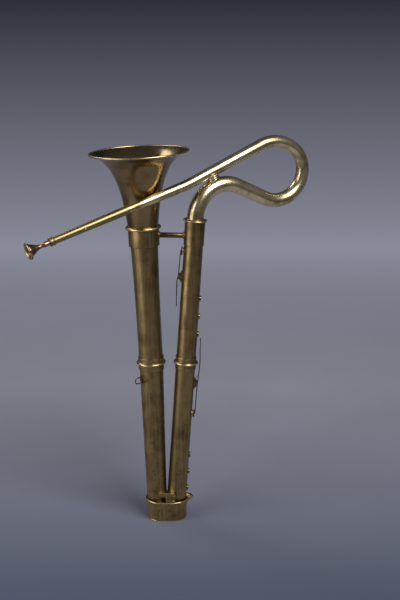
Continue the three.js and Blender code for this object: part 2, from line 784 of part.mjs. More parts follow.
function addKey(key, upsideDown) {
  const { limb, skin: limbSkin, radiusAt, local } = halfAt(key.level);
  const surface = radiusAt(local);
  key.stackHeight = seatHeight + fit + padThickness + fit + cupThickness + leverThickness / 2;
  const place = station(limb, local, key.turn);
  const frame = group(place, 0, 0, 0);
  if (upsideDown) frame.rotation.x = Math.PI;
  const surfaceHere = carried(limbSkin, limb, frame);
  const otherHalf = narrowHalves.find((half) => half.limb !== limb);
  const otherSurface = carried(otherHalf.skin, otherHalf.limb, frame);

  // Seat: a raised ring round the tone hole, faced flat for the pad
  const cupFrame = group(frame, 0, 0, key.cupAt);
  const seatTop = surface + seatHeight;
  const seatOuter = key.toneHoleRadius + seatWall;
  const seat = turned([
    [key.toneHoleRadius, surface - seatOuter], [seatOuter, surface - seatOuter],
    [seatOuter, seatTop], [key.toneHoleRadius, seatTop],
  ], smallSides).rotateY(across);
  add(cupFrame, `${key.name}_seat`, cutBy(seat, carried(limbSkin, limb, cupFrame)), brightBrass);
  const cupLevel = upsideDown ? key.level - key.cupAt : key.level + key.cupAt;
  const cupHalf = halfAt(cupLevel);
  cupHalf.holes.push(carried(boreThrough(key.toneHoleRadius, 0, seatTop), cupFrame, cupHalf.limb));

  // Pad: a leather disc in the cup
  const padBottom = seatTop + fit;
  const padTop = padBottom + padThickness;
  const padRadius = key.cupRadius - cupThickness - fit;
  const pad = rod(padRadius, padBottom, padTop, smallSides).rotateY(across);
  add(cupFrame, `${key.name}_pad`, pad, leather);

  // Lever: touch, arm, barrel and cup in one
  const cupFloor = padTop + fit;
  const cupRim = padBottom + padThickness / 2;
  const cup = turned([
    [key.cupRadius - cupThickness, cupRim], [key.cupRadius, cupRim], [key.cupRadius, cupFloor],
    [key.cupRadius - cupThickness, cupFloor + cupThickness], [0, cupFloor + cupThickness + cupCrown],
    [0, cupFloor], [key.cupRadius - cupThickness, cupFloor],
  ], turningSides).rotateY(across).translate(0, 0, key.cupAt);
  const pinLine = (radius, half) => rod(radius, -half, half, smallSides)
    .rotateX(across).translate(surface + key.pinHeight, 0, 0);
  const barrel = pinLine(barrelRadius, leverWidth / 2);
  const lever = cutBy(
    joined(leverOf(key, surface), cup, barrel),
    pinLine(pinRadius + fit, leverWidth),
  );
  add(frame, `${key.name}_lever`, lever, brightBrass);

  // Saddle: two cheeks on a foot, soldered to the limb
  const cheekInside = leverWidth / 2 + fit;
  const cheekOutside = cheekInside + cheekThickness;
  const crown = (saddleLength * saddleCrownShare) / 2;
  const cheekOutline = new THREE.Shape();
  cheekOutline.moveTo(surface - overrun, -saddleLength / 2);
  cheekOutline.lineTo(surface + saddleFootThickness, -saddleLength / 2);
  cheekOutline.lineTo(surface + key.cheekHeight, -crown);
  cheekOutline.lineTo(surface + key.cheekHeight, crown);
  cheekOutline.lineTo(surface + saddleFootThickness, saddleLength / 2);
  cheekOutline.lineTo(surface - overrun, saddleLength / 2);
  const block = new THREE.ExtrudeGeometry(cheekOutline, { depth: 2 * cheekOutside, bevelEnabled: false })
    .rotateX(across).translate(0, cheekOutside, 0);
  const slot = new THREE.BoxGeometry(key.cheekHeight + overrun, 2 * cheekInside, saddleLength + overrun)
    .translate(surface + saddleFootThickness + (key.cheekHeight + overrun) / 2, 0, 0);
  const saddle = cutBy(block, slot, surfaceHere, pinLine(pinRadius + fit, cheekOutside + overrun));
  add(frame, `${key.name}_saddle`, saddle, dullBrass);

  // Pin: a headed pin through both cheeks
  const pinHalf = cheekOutside + fit;
  const pin = turned([
    [0, -pinHalf - pinHeadThickness], [pinHeadRadius, -pinHalf - pinHeadThickness],
    [pinHeadRadius, -pinHalf], [pinRadius, -pinHalf], [pinRadius, pinHalf], [pinHeadRadius, pinHalf],
    [pinHeadRadius, pinHalf + pinHeadThickness], [0, pinHalf + pinHeadThickness],
  ], smallSides).rotateX(across).translate(surface + key.pinHeight, 0, 0);
  add(frame, `${key.name}_pin`, pin, darkBrass);

  // Flat spring: riveted to the saddle's foot, its free end bears on the underside of the lever
  const springFoot = surface + saddleFootThickness + fit;
  const leverLine = keyHeightLine(key).map(([height, along]) => new THREE.Vector2(along, height));
  const line = new THREE.SplineCurve(leverLine);
  const contact = line.getPoints(80).reduce((best, spot) => (
    Math.abs(spot.x + key.springReach) < Math.abs(best.x + key.springReach) ? spot : best
  ));
  const tipTop = surface + contact.y - leverThickness / 2 - fit;
  const springStart = -saddleLength / 4;
  const springStops = [0, 0.25, 0.5, 0.75, 1].map((share) => ({
    x: lerp(springFoot + springThickness / 2, tipTop - springThickness / 2, share ** 1.6),
    z: lerp(springStart, -key.springReach, share),
  }));
  const springRings = springStops.map((stop, i) => {
    const before = springStops[Math.max(0, i - 1)];
    const after = springStops[Math.min(springStops.length - 1, i + 1)];
    const heading = Math.atan2(after.z - before.z, after.x - before.x);
    const half = springWidth / 2;
    const thin = springThickness / 2;
    return ringAt({ ...stop, heading: i === 0 ? -Math.PI / 2 : heading }, [
      [thin, -half], [thin, half], [-thin, half], [-thin, -half],
    ]);
  });
  add(frame, `${key.name}_spring`, skin(springRings, false), springSteel);
  return { frame, surface, otherSurface };
}

thumbKey.level = narrowLength - thumbKey.belowSocket;
fingerKey.level = narrowLowerLength - fingerKey.belowJoint;
addKey(thumbKey, false);
addKey(fingerKey, true);

const narrowLowerTube = cutBy(
  coneTube(narrowFootRadius, narrowMiddleRadius, narrowLowerLength),
  carried(belowPlate, horn, narrow),
  ...holesInHalves[0],
);
add(narrow, 'narrow_lower_limb', narrowLowerTube, dullBrass);
const narrowTenonRadius = narrowMiddleRadius - sheet - fit;
const narrowUpperTube = cutBy(
  tenonTube(narrowTenonRadius, tenonLength, narrowUpperRadius, narrowUpperLength, 1),
  ...holesInHalves[1],
);
add(narrowUpper, 'narrow_upper_limb', narrowUpperTube, dullBrass);

// Bell: spun sheet brass, with a tenon in the wide limb and a wire round its lip
const bell = group(bellJoint, 0, 0, fit);
const hornStart = bellHeight / ((bellLipRadius / bellNeckRadius) ** (1 / bellFlarePower) - 1);
const bellRadius = (z) => bellLipRadius * (hornStart / (hornStart + bellHeight - z)) ** bellFlarePower;
const bellSlope = (z) => (bellFlarePower * bellRadius(z)) / (hornStart + bellHeight - z);
const bellTenonRadius = wideTopRadius - sheet - bellTenonFit;
const bellTenonEndRadius = wideUpperRadius(wideUpperLength - bellTenonLength) - sheet - bellTenonFit;
const bellOutside = [];
const bellInside = [];
for (let i = 0; i <= bellSteps; i++) {
  const z = bellHeight * (1 - (1 - i / bellSteps) ** 1.6);
  const slant = Math.atan(bellSlope(z));
  bellOutside.push([bellRadius(z), z]);
  bellInside.unshift([bellRadius(z) - sheet * Math.cos(slant), z + sheet * Math.sin(slant)]);
}
bellInside.pop();
const bellGeometry = turned([
  [bellTenonEndRadius - sheet, -bellTenonLength], [bellTenonEndRadius, -bellTenonLength],
  [bellTenonRadius, 0],
  ...bellOutside, ...bellInside, [bellNeckRadius - sheet, sheet], [bellTenonRadius - sheet, sheet],
], bellSides);
add(bell, 'bell', bellGeometry, dullBrass);

const lipSlant = Math.atan(bellSlope(bellHeight));
const wireOut = rimWireRadius + fit;
const rimWire = new THREE.TorusGeometry(
  bellLipRadius + wireOut * Math.sin(lipSlant),
  rimWireRadius,
  wireSides,
  bellSides,
).translate(0, 0, bellHeight + wireOut * Math.cos(lipSlant));
add(bell, 'bell_rim_wire', facingOut(rimWire), brightBrass);

// Crook: one tapered tube. It turns in its socket until its long run clears the bell
const crook = group(socket, 0, 0, 0);
const crookStops = route(radians(90), [
  { run: crookTenonLength + crookTenonRise },
  { run: crookRiseHeight - crookTenonRise },
  { radius: neckBendRadius, turn: neckBendTurn },
  { run: fallRunLength },
  { radius: dipBendRadius, turn: dipBendTurn },
  { radius: loopBendRadius, turn: loopBendTurn },
  { radius: crownBendRadius, turn: crownBendTurn },
  { run: backRunLength },
  { radius: easeBendRadius, turn: easeBendTurn },
  { run: mouthRunLength },
]);
for (const stop of crookStops) stop.z -= crookTenonLength;
const crookTip = crookStops.at(-1);
const crookTaperLength = crookTip.travelled - crookTenonLength;
const crookRadius = (travelled) => (
  lerp(crookBaseRadius, crookTipRadius, (travelled - crookTenonLength) / crookTaperLength)
);
const tenonStops = crookStops.slice(0, 2);
const openStops = crookStops.slice(1);
const crookOutside = [
  ...tenonStops.map((stop) => ringAt(stop, circle(crookTenonRadius, crookSides))),
  ...openStops.map((stop) => ringAt(stop, circle(crookRadius(stop.travelled), crookSides))),
];
const crookInside = crookStops.map((stop) => (
  ringAt(stop, circle(crookRadius(Math.max(stop.travelled, crookTenonLength)) - sheet, crookSides))
));
add(crook, 'crook_tube', skin([...crookOutside, ...crookInside.reverse()], true), brightBrass);

function gapToBell() {
  horn.updateMatrixWorld(true);
  const spot = new THREE.Vector3();
  const samples = 60;
  const from = crookTip.travelled - mouthRunLength - backRunLength;
  let least = Infinity;
  for (let i = 0; i <= samples; i++) {
    const travelled = lerp(from, crookTip.travelled, i / samples);
    const stop = stopAt(crookStops, travelled);
    spot.set(stop.x, 0, stop.z).applyMatrix4(crook.matrixWorld);
    bell.worldToLocal(spot);
    if (spot.z < 0 || spot.z > bellHeight) continue;
    least = Math.min(least, Math.hypot(spot.x, spot.y) - bellRadius(spot.z) - crookRadius(travelled));
  }
  return least;
}
const turnStep = radians(0.5);
while (gapToBell() < crookBellDistance && crook.rotation.z < radians(90)) crook.rotation.z += turnStep;

// A frame on the crook: Z points along the tube, Y stays square to the crook's plane.
function crookFrame(travelled) {
  const stop = stopAt(crookStops, travelled);
  const made = group(crook, stop.x, 0, stop.z);
  made.rotation.y = Math.PI / 2 - stop.heading;
  return made;
}

function crookEnvelope(from, to) {
  const stops = crookStops.filter((stop) => stop.travelled > from && stop.travelled < to);
  const all = [stopAt(crookStops, from), ...stops, stopAt(crookStops, to)];
  return skin(all.map((stop) => ringAt(stop, circle(crookRadius(stop.travelled) + fit, crookSides))), false);
}

// Stay: a turned post with mouldings, saddled to the run above and the bend below
const easeStart = crookTip.travelled - mouthRunLength - easeBendRadius * radians(Math.abs(easeBendTurn));
const stayFrame = crookFrame(easeStart - stayEaseDistance);
stayFrame.rotation.y -= Math.PI / 2;
const stayOutline = [[0, stayTop], [stayRadius, stayTop]];
const mouldingPitch = (stayFoot - stayTop) / (stayMouldings + 2);
for (let i = 0; i < stayMouldings; i++) {
  const middle = stayTop + mouldingPitch * (i + 1);
  stayOutline.push(
    [stayRadius, middle - mouldingPitch * 0.35],
    [stayRadius + stayMouldingHeight, middle - mouldingPitch * 0.2],
    [stayRadius + stayMouldingHeight, middle + mouldingPitch * 0.2],
    [stayRadius, middle + mouldingPitch * 0.35],
  );
}
stayOutline.push([stayFootRadius, stayFoot], [0, stayFoot]);
const neckEnd = crookTenonLength + crookRiseHeight + neckBendRadius * radians(Math.abs(neckBendTurn));
const stay = cutBy(
  turned(stayOutline, turningSides),
  carried(crookEnvelope(easeStart - backRunLength, easeStart), crook, stayFrame),
  carried(crookEnvelope(crookTenonLength, neckEnd), crook, stayFrame),
);
add(stayFrame, 'crook_stay', stay, brightBrass);

// Stud: a small round-headed stud on the side of the long run
const studAt = crookTip.travelled - studTipDistance;
const studFrame = crookFrame(studAt);
const studFace = crookRadius(studAt);
const stud = turned([
  [0, 0], [studRadius, 0], [studRadius, studFace + studRadius * 0.7],
  [studRadius * 0.75, studFace + studRadius * 1.3], [0, studFace + studRadius * 1.6],
], smallSides).rotateX(across);
const nearStud = crookEnvelope(studAt - 2 * studFace, studAt + 2 * studFace);
add(studFrame, 'crook_stud', cutBy(stud, carried(nearStud, crook, studFrame)), brightBrass);

// Receiver: a ferrule with two beads over the crook's tip
const tipFrame = crookFrame(crookTip.travelled);
const receiverBore = crookTipRadius + fit;
const receiverOutside = receiverBore + receiverThickness;
const receiverBack = -(receiverLength - receiverLip - fit);
const receiverFace = receiverLip + fit;
const beadCentres = [receiverBack + receiverBeadRadius, receiverFace - receiverBeadRadius];
const receiverOutline = [[receiverBore, receiverBack]];
for (const centre of beadCentres) {
  for (let i = 0; i <= beadSteps; i++) {
    const angle = lerp(-Math.PI / 2, Math.PI / 2, i / beadSteps);
    receiverOutline.push([
      receiverOutside + receiverBeadRadius * Math.cos(angle) * 0.8,
      centre + receiverBeadRadius * Math.sin(angle),
    ]);
  }
}
receiverOutline.push([shankRadius + fit, receiverFace], [shankRadius + fit, fit], [receiverBore, fit]);
add(tipFrame, 'mouthpiece_receiver', turned(receiverOutline, turningSides), brightBrass);

// Mouthpiece: turned brass, with shares of its reach and of its rim's radius for the cup
const mouthpiece = group(tipFrame, 0, 0, receiverFace + fit);
const cupOutsideShares = [
  [0.17, 0.29], [0.23, 0.31], [0.28, 0.25], [0.4, 0.21], [0.5, 0.27], [0.66, 0.45], [0.86, 0.75],
  [0.9, 0.85], [0.91, 0.97], [0.95, 1], [1, 0.94],
];
const cupInsideShares = [[0.985, 0.83], [0.9, 0.69], [0.74, 0.49], [0.58, 0.26]];
const toCup = ([along, out]) => [out * mouthpieceRimRadius, along * mouthpieceReach];
const mouthpieceOutline = [
  [shankBoreRadius, -shankDepth], [shankRadius * shankTaperShare, -shankDepth], [shankRadius, 0],
  ...cupOutsideShares.map(toCup), ...cupInsideShares.map(toCup),
  [throatRadius, mouthpieceReach * 0.45], [throatRadius, mouthpieceReach * 0.3],
];
add(mouthpiece, 'mouthpiece', turned(mouthpieceOutline, turningSides), brightBrass);

// Brace: a rod between the two limbs, with a flange on each sleeve
horn.updateMatrixWorld(true);
const onWide = wideUpper.localToWorld(new THREE.Vector3(0, 0, wideUpperLength - braceBellDistance));
const braceFarLevel = (onWide.z - braceDropHeight - plateTop) / Math.cos(radians(narrowLean));
const onNarrow = narrow.localToWorld(new THREE.Vector3(0, 0, braceFarLevel));
const brace = group(horn, onWide.x, onWide.y, onWide.z);
brace.rotation.y = Math.atan2(onNarrow.x - onWide.x, onNarrow.z - onWide.z);
const braceSpan = onWide.distanceTo(onNarrow);
const bellSleeveOutside = bellFerruleBore + ferruleThickness + fit;
const socketSleeveOutside = socketBore + ferruleThickness + fit;
const wideFlangeFace = bellSleeveOutside + braceFlangeThickness;
const narrowFlangeFace = socketSleeveOutside + braceFlangeThickness;
const flangeRoot = braceFlangeThickness + braceFlangeRadius / 2;
const flange = (face) => turned([
  [0, face - flangeRoot], [braceFlangeRadius, face - flangeRoot],
  [braceFlangeRadius, face - braceFlangeThickness / 2],
  [lerp(braceRadius, braceFlangeRadius, 0.4), face], [0, face],
], turningSides);
const bellSleeveSkin = rod(bellSleeveOutside, -bellSleeveLength, 0, limbSides);
const socketSleeveSkin = rod(socketSleeveOutside, -socketSleeveLength, 0, limbSides);
add(brace, 'brace_flange_wide', cutBy(
  flange(wideFlangeFace),
  carried(bellSleeveSkin, bellJoint, brace),
), dullBrass);
const farEnd = group(brace, 0, 0, braceSpan);
farEnd.rotation.y = Math.PI;
add(farEnd, 'brace_flange_narrow', cutBy(
  flange(narrowFlangeFace),
  carried(socketSleeveSkin, socket, farEnd),
), dullBrass);
const braceRod = rod(
  braceRadius,
  wideFlangeFace + fit,
  braceSpan - narrowFlangeFace - fit,
  turningSides,
);
add(brace, 'brace_rod', braceRod, dullBrass);

// Strap eye: a lozenge plate bent to the limb, with a knuckle, and a loop that swings in it
const strapLevel = wideLowerLength - strapJointDistance;
const strap = station(wideLower, strapLevel, strapTurn);
const strapSurface = wideLowerRadius(strapLevel);
const wideSkin = envelope(wideLowerRadius, wideLowerLength, fit, 1, limbSides);
const plateSkin = envelope(wideLowerRadius, wideLowerLength, fit + strapPlateThickness, 1, limbSides);
const lozenge = new THREE.Shape([
  new THREE.Vector2(-strapPlateHalfWidth, 0), new THREE.Vector2(0, -strapPlateHalfHeight),
  new THREE.Vector2(strapPlateHalfWidth, 0), new THREE.Vector2(0, strapPlateHalfHeight),
]);
const lozengeBlock = new THREE.ExtrudeGeometry(lozenge, { depth: 2 * strapSurface, bevelEnabled: false })
  .rotateX(across).rotateZ(across);
const bentPlate = geometryOf(
  solidOf(lozengeBlock)
    .intersect(solidOf(carried(plateSkin, wideLower, strap)))
    .subtract(solidOf(carried(wideSkin, wideLower, strap))),
);
const knuckleAt = strapSurface + fit + strapPlateThickness + knuckleRadius * 0.8;
const knuckle = rod(knuckleRadius, -knuckleHeight / 2, knuckleHeight / 2, smallSides)
  .translate(knuckleAt, 0, 0);
const knuckleBore = rod(strapWireRadius + fit, -knuckleHeight, knuckleHeight, smallSides)
  .translate(knuckleAt, 0, 0);
add(strap, 'strap_eye', cutBy(joined(bentPlate, knuckle), knuckleBore), dullBrass);

const loopSide = 2 * (strapLoopHalfHeight - strapCornerRadius);
const strapStops = route(radians(90), [
  { run: loopSide },
  { radius: strapCornerRadius, turn: -90 },
  { run: strapLoopLength },
  { radius: strapLoopHalfHeight, turn: -180 },
  { run: strapLoopLength },
  { radius: strapCornerRadius, turn: -90 },
], wireBendStep).slice(1);
const strapRings = strapStops.map((stop) => ringAt(stop, circle(strapWireRadius, wireSides)));
const strapLoop = skin(strapRings, true).translate(knuckleAt, 0, -loopSide / 2);
add(strap, 'strap_ring', strapLoop, darkBrass);

// Bracket: a bar across the fronts of both limbs, with a tongue that stands in the collar
const barBack = wideFootRadius * 0.55;
const barFront = wideFootRadius + 2 * bracketBarThickness;
const barLevel = plateTop + bracketBarLevel;
const bar = new THREE.BoxGeometry(bracketBarLength, barFront - barBack, bracketBarHeight)
  .translate(0, -(barFront + barBack) / 2, barLevel);
const tongueFloor = plateTop + fit;
const tongueBend = tongueFloor + bracketTongueStraight;
const tongueLine = [
  [barFront - bracketTongueThickness, barLevel], [barFront, barLevel],
  [buttHalfDepth, tongueBend], [buttHalfDepth, tongueFloor],
  [buttHalfDepth - bracketTongueThickness, tongueFloor],
  [buttHalfDepth - bracketTongueThickness, tongueBend],
];
const tongueOutline = new THREE.Shape(tongueLine.map(([out, z]) => new THREE.Vector2(-out, z)));
const tongue = new THREE.ExtrudeGeometry(tongueOutline, { depth: bracketTongueWidth, bevelEnabled: false })
  .rotateX(across).rotateZ(across)
  .translate(bracketTongueOffset - bracketTongueWidth / 2, 0, 0);
const inCollar = new THREE.ExtrudeGeometry(oval(buttHalfWidth, buttHalfDepth), {
  depth: 2 * barLevel,
  bevelEnabled: false,
  curveSegments: ovalEndSides,
});
const tongueScrewLevel = plateTop + tongueScrewRise;
const tongueScrew = group(horn, tongueScrewOffset, 0, tongueScrewLevel);
tongueScrew.rotation.z = -across;
const tongueFace = buttHalfDepth;
const tongueScrewShape = turned([
  [0, tongueFace - screwLength], [screwShankRadius, tongueFace - screwLength],
  [screwShankRadius, tongueFace + fit], [screwHeadRadius, tongueFace + fit],
  [screwHeadRadius, tongueFace + screwHeadHeight / 2], [screwHeadRadius / 2, tongueFace + screwHeadHeight],
  [0, tongueFace + screwHeadHeight],
], smallSides).rotateY(across);
add(tongueScrew, 'butt_bracket_screw', tongueScrewShape, brightBrass);
const tongueScrewHole = shankHole(tongueFace - screwLength - overrun, tongueFace + screwHeadHeight);
const bracket = solidOf(cutBy(
  joined(bar, tongue),
  carried(narrowLowerSkin, narrow, horn),
  carried(wideSkin, wideLower, horn),
  carried(tongueScrewHole, tongueScrew, horn),
  ...shankHoles,
)).intersect(solidOf(inCollar));
add(horn, 'butt_bracket', geometryOf(bracket), dullBrass);

export default horn;
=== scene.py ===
from math import acos, atan, atan2, ceil, cos, degrees, hypot, pi, radians, sin, tan

import bpy
from mathutils import Matrix, Vector


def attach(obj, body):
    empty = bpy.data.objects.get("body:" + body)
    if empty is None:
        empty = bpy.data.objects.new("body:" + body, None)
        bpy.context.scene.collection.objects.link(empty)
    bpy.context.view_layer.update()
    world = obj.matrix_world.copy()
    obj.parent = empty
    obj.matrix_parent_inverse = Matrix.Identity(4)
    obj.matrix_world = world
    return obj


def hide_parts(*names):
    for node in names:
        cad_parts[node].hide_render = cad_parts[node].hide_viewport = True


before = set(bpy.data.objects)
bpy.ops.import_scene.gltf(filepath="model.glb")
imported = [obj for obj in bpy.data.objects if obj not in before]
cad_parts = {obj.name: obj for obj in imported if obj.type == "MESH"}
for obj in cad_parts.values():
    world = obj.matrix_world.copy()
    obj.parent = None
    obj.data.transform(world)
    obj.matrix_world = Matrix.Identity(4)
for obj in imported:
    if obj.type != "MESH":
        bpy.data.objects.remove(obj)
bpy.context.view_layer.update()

# Base plate of the butt: an oval of thick sheet brass, on which the horn stands.
# It is sawn out, filed round along its rim and soldered under the wall; the rim rubs bright.
MM = 0.001
BUTT_HALF_WIDTH = 46.55
BUTT_HALF_DEPTH = 32.4
END_CENTRE = BUTT_HALF_WIDTH - BUTT_HALF_DEPTH
OVAL_VERTICES = 160
BASE_PLATE = 3
BASE_LEVELS = [(0, -0.9), (0.25, -0.3), (0.9, 0), (2.1, 0), (2.75, -0.3), (BASE_PLATE, -0.9)]


def only(piece):
    """Leaves one piece selected and active."""
    bpy.ops.object.select_all(action="DESELECT")
    piece.select_set(True)
    bpy.context.view_layer.objects.active = piece


def start(add, name, **settings):
    """Adds one of Blender's primitives as a new piece, with its place and size in its mesh."""
    bpy.ops.object.select_all(action="DESELECT")
    add(**settings)
    bpy.ops.object.transform_apply(location=True, rotation=True, scale=True)
    piece = bpy.context.object
    piece.name = name
    return piece


def pick(piece, kind, test):
    """In edit mode, selects the vertices or faces that pass a test, and nothing else."""
    bpy.ops.mesh.select_mode(type=kind)
    bpy.ops.mesh.select_all(action="DESELECT")
    bpy.ops.object.mode_set(mode="OBJECT")
    for item in piece.data.vertices if kind == "VERT" else piece.data.polygons:
        item.select = test(item)
    bpy.ops.object.mode_set(mode="EDIT")


def extrude(x=0, y=0, z=0):
    """Extrudes what is selected by a step in millimetres."""
    step = (x * MM, y * MM, z * MM)
    bpy.ops.mesh.extrude_region_move(TRANSFORM_OT_translate={"value": step})


def bridge_ends():
    """Joins the open start and end of a ring."""
    bpy.ops.mesh.select_all(action="DESELECT")
    bpy.ops.mesh.select_non_manifold()
    bpy.ops.mesh.bridge_edge_loops()


def closed(piece):
    """Merges doubles, turns all faces outwards and leaves edit mode."""
    bpy.ops.mesh.select_all(action="SELECT")
    bpy.ops.mesh.remove_doubles(threshold=0.002 * MM)
    bpy.ops.mesh.normals_make_consistent(inside=False)
    bpy.ops.object.mode_set(mode="OBJECT")
    return piece


def oval(name, levels, hollow=False):
    """Raises an oval through levels of (height, growth); a hollow one runs back into its start."""
    height, growth = levels[0]
    piece = start(
        bpy.ops.mesh.primitive_circle_add, name, vertices=OVAL_VERTICES,
        radius=(BUTT_HALF_DEPTH + growth) * MM, location=(0, 0, height * MM),
        rotation=(0, 0, pi / OVAL_VERTICES), fill_type="NOTHING" if hollow else "NGON",
    )
    bpy.ops.object.mode_set(mode="EDIT")
    for side in (1, -1):
        pick(piece, "VERT", lambda vertex: vertex.co.x * side > 0)
        bpy.ops.transform.translate(value=(side * END_CENTRE * MM, 0, 0))
    bpy.ops.mesh.select_all(action="SELECT")
    for (low, small), (high, large) in zip(levels, levels[1:]):
        extrude(z=high - low)
        bpy.ops.transform.resize(value=(
            (BUTT_HALF_WIDTH + large) / (BUTT_HALF_WIDTH + small),
            (BUTT_HALF_DEPTH + large) / (BUTT_HALF_DEPTH + small), 1,
        ))
    if hollow:
        bridge_ends()
    return closed(piece)


def linear(code):
    """An sRGB hex colour as the linear colour that a shader takes."""
    parts = [int(code[i:i + 2], 16) / 255 for i in (0, 2, 4)]
    return [p / 12.92 if p <= 0.04045 else ((p + 0.055) / 1.055) ** 2.4 for p in parts] + [1]


def add_node(tree, kind, settings):
    """Adds a node and gives its outputs; a setting is a value, or an output to link."""
    node = tree.nodes.new("ShaderNode" + kind)
    for key, value in settings.items():
        if isinstance(value, bpy.types.NodeSocket):
            tree.links.new(value, node.inputs[key])
        elif isinstance(key, str) and hasattr(node, key):
            setattr(node, key, value)
        else:
            node.inputs[key].default_value = value
    return node.outputs


def new_material(name):
    """A material with an empty tree, and the object coordinates for its patterns."""
    material = bpy.data.materials.new(name)
    material.use_nodes = True
    tree = material.node_tree
    tree.nodes.clear()
    return material, tree, add_node(tree, "TexCoord", {})["Object"]


def brass(name, metal, tarnish, spot, roughness, cloud_mm=38, tarnished=0.5, spotted=0.5,
          streaked=0.35, wavy_mm=0.05, drawn=(1, 1, 0.05), grain_mm=0.006, painted_shade_span=None):
    """Brass that has tarnished in clouds and streaks, with spots that thicken towards the foot.

    A pair of places along X, in mm, can be given; between them the tarnish grows towards the first,
    as a painted shade that darkens the brass where the light falls off.
    """
    material, tree, place = new_material(name)
    clouds = add_node(tree, "TexNoise", {
        "Scale": 1 / (cloud_mm * MM), "Detail": 6, "Roughness": 0.62, "Vector": place,
    })[0]
    along = add_node(tree, "Mapping", {"Scale": drawn, "Vector": place})[0]
    streaks = add_node(tree, "TexNoise", {
        "Scale": 1 / (5 * MM), "Detail": 4, "Roughness": 0.6, "Vector": along,
    })[0]
    mixed = add_node(tree, "Mix", {"data_type": "FLOAT", 0: streaked, 2: clouds, 3: streaks})[0]
    beside, _, height = add_node(tree, "SeparateXYZ", {0: place})
    if painted_shade_span:
        # Painted shade: the tarnish share rises along X towards the first place.
        painted_shade = add_node(tree, "MapRange", {
            "From Min": painted_shade_span[0] * MM, "From Max": painted_shade_span[1] * MM, "To Min": 0.3, "To Max": 0,
            "Value": beside,
        })[0]
        mixed = add_node(tree, "Math", {"operation": "ADD", 0: mixed, 1: painted_shade})[0]
    shade = add_node(tree, "MapRange", {
        "From Min": 0.62 - 0.34 * tarnished, "From Max": 0.84 - 0.34 * tarnished, "Value": mixed,
    })[0]
    body = add_node(tree, "Mix", {
        "data_type": "RGBA", 0: shade, 6: linear(metal), 7: linear(tarnish),
    })[2]
    low = add_node(tree, "MapRange", {
        "From Min": 0.03, "From Max": 0.42, "To Min": 0.09, "To Max": 0, "Value": height,
    })[0]
    grains = add_node(tree, "TexNoise", {"Scale": 1 / (7 * MM), "Detail": 3, "Vector": place})[0]
    raised = add_node(tree, "Math", {"operation": "ADD", 0: grains, 1: low})[0]
    spots = add_node(tree, "MapRange", {
        "From Min": 0.68, "From Max": 0.77, "To Max": spotted, "Value": raised,
    })[0]
    colour = add_node(tree, "Mix", {"data_type": "RGBA", 0: spots, 6: body, 7: linear(spot)})[2]
    rough = add_node(tree, "MapRange", {
        "From Min": 0.3, "From Max": 0.7, "To Min": roughness - 0.06, "To Max": roughness + 0.1,
        "Value": mixed,
    })[0]
    rougher = add_node(tree, "Math", {"operation": "MULTIPLY_ADD", 0: spots, 1: 0.2, 2: rough})[0]
    dents = add_node(tree, "TexNoise", {"Scale": 1 / (26 * MM), "Detail": 1, "Vector": place})[0]
    uneven = add_node(tree, "Bump", {
        "Strength": 0.6, "Distance": wavy_mm * MM, "Height": dents,
    })[0]
    fine = add_node(tree, "TexNoise", {"Scale": 1 / (1.1 * MM), "Detail": 2, "Vector": place})[0]
    grained = add_node(tree, "Bump", {
        "Strength": 0.25, "Distance": grain_mm * MM, "Height": fine, "Normal": uneven,
    })[0]
    shader = add_node(tree, "BsdfPrincipled", {
        "Metallic": 1, "Base Color": colour, "Roughness": rougher, "Normal": grained,
    })[0]
    add_node(tree, "OutputMaterial", {"Surface": shader})
    return material


def fasten(piece, material, body, slot, *nodes, sharp=32, worn=None, place=None):
    """Shades a piece, gives it its finish and its body, and hides the nodes it stands for; its slot
    is not used.

    Where a test is given, the faces that pass it, seen from the piece's place, are rubbed.
    """
    only(piece)
    bpy.ops.object.shade_smooth_by_angle(angle=radians(sharp))
    piece.data.materials.clear()
    piece.data.materials.append(material)
    if worn:
        piece.data.materials.append(rubbed_brass)
        back = (place or Matrix.Identity(4)).inverted()
        for face in piece.data.polygons:
            spot = back @ face.center / MM
            face.material_index = 1 if worn(hypot(spot.x, spot.y), spot.z) else 0
    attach(piece, body)
    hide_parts(*nodes)


# Brass where hands, cloths and the table rub it: yellow and smooth, with hardly a spot.
rubbed_brass = brass("rubbed cast brass", "bfa878", "8a7650", "4d3d28", 0.27, tarnished=0.35,
                     spotted=0.25, streaked=0.1, wavy_mm=0.02)

base_plate = oval("base_plate", BASE_LEVELS)
fasten(base_plate, rubbed_brass, "horn_body", "dull_brass", "butt_base_plate")

# Wall of the butt: a band of sheet brass bent to the oval and brazed at a seam behind.
# It leaves the butt hollow, so that the wind can cross from limb to limb.
FIT = 0.3
WALL = 1.2
WALL_HEIGHT = 39.2
WALL_FLOOR = BASE_PLATE + FIT
WALL_CEILING = WALL_FLOOR + WALL_HEIGHT
# Sheet brass, hammered, brazed and left to tarnish: brown clouds, a soft shine, spots low down.
tarnished_sheet = brass("tarnished sheet brass", "8c774f", "503e28", "301a0e", 0.36, streaked=0.45)
butt_band = oval("butt_band", [
    (WALL_FLOOR, -WALL), (WALL_FLOOR, 0), (WALL_CEILING, 0), (WALL_CEILING, -WALL),
], hollow=True)
fasten(butt_band, tarnished_sheet, "horn_body", "dull_brass", "butt_wall")

# Top plate of the butt: a thick oval of sheet brass with a hole for each spigot.
# It is soldered into the band, and the limbs stand on it.
PLATE = 2.5
PLATE_FLOOR = WALL_CEILING + FIT
PLATE_TOP = PLATE_FLOOR + PLATE
SHEET = 0.8
WIDE_FOOT = 23
WIDE_LEAN = 1.66
NARROW_FOOT = 22.6
NARROW_LEAN = 3.84
FOOT_GAP = 0.5
SPIGOT_HOLE_REACH = 10


def set_in(parent, x=0, y=0, z=0, turn=0, lean=0):
    """A frame in another: moved in millimetres, turned about Z, then leant about Y in degrees."""
    return (parent @ Matrix.Translation(Vector((x, y, z)) * MM)
            @ Matrix.Rotation(radians(turn), 4, "Z") @ Matrix.Rotation(radians(lean), 4, "Y"))


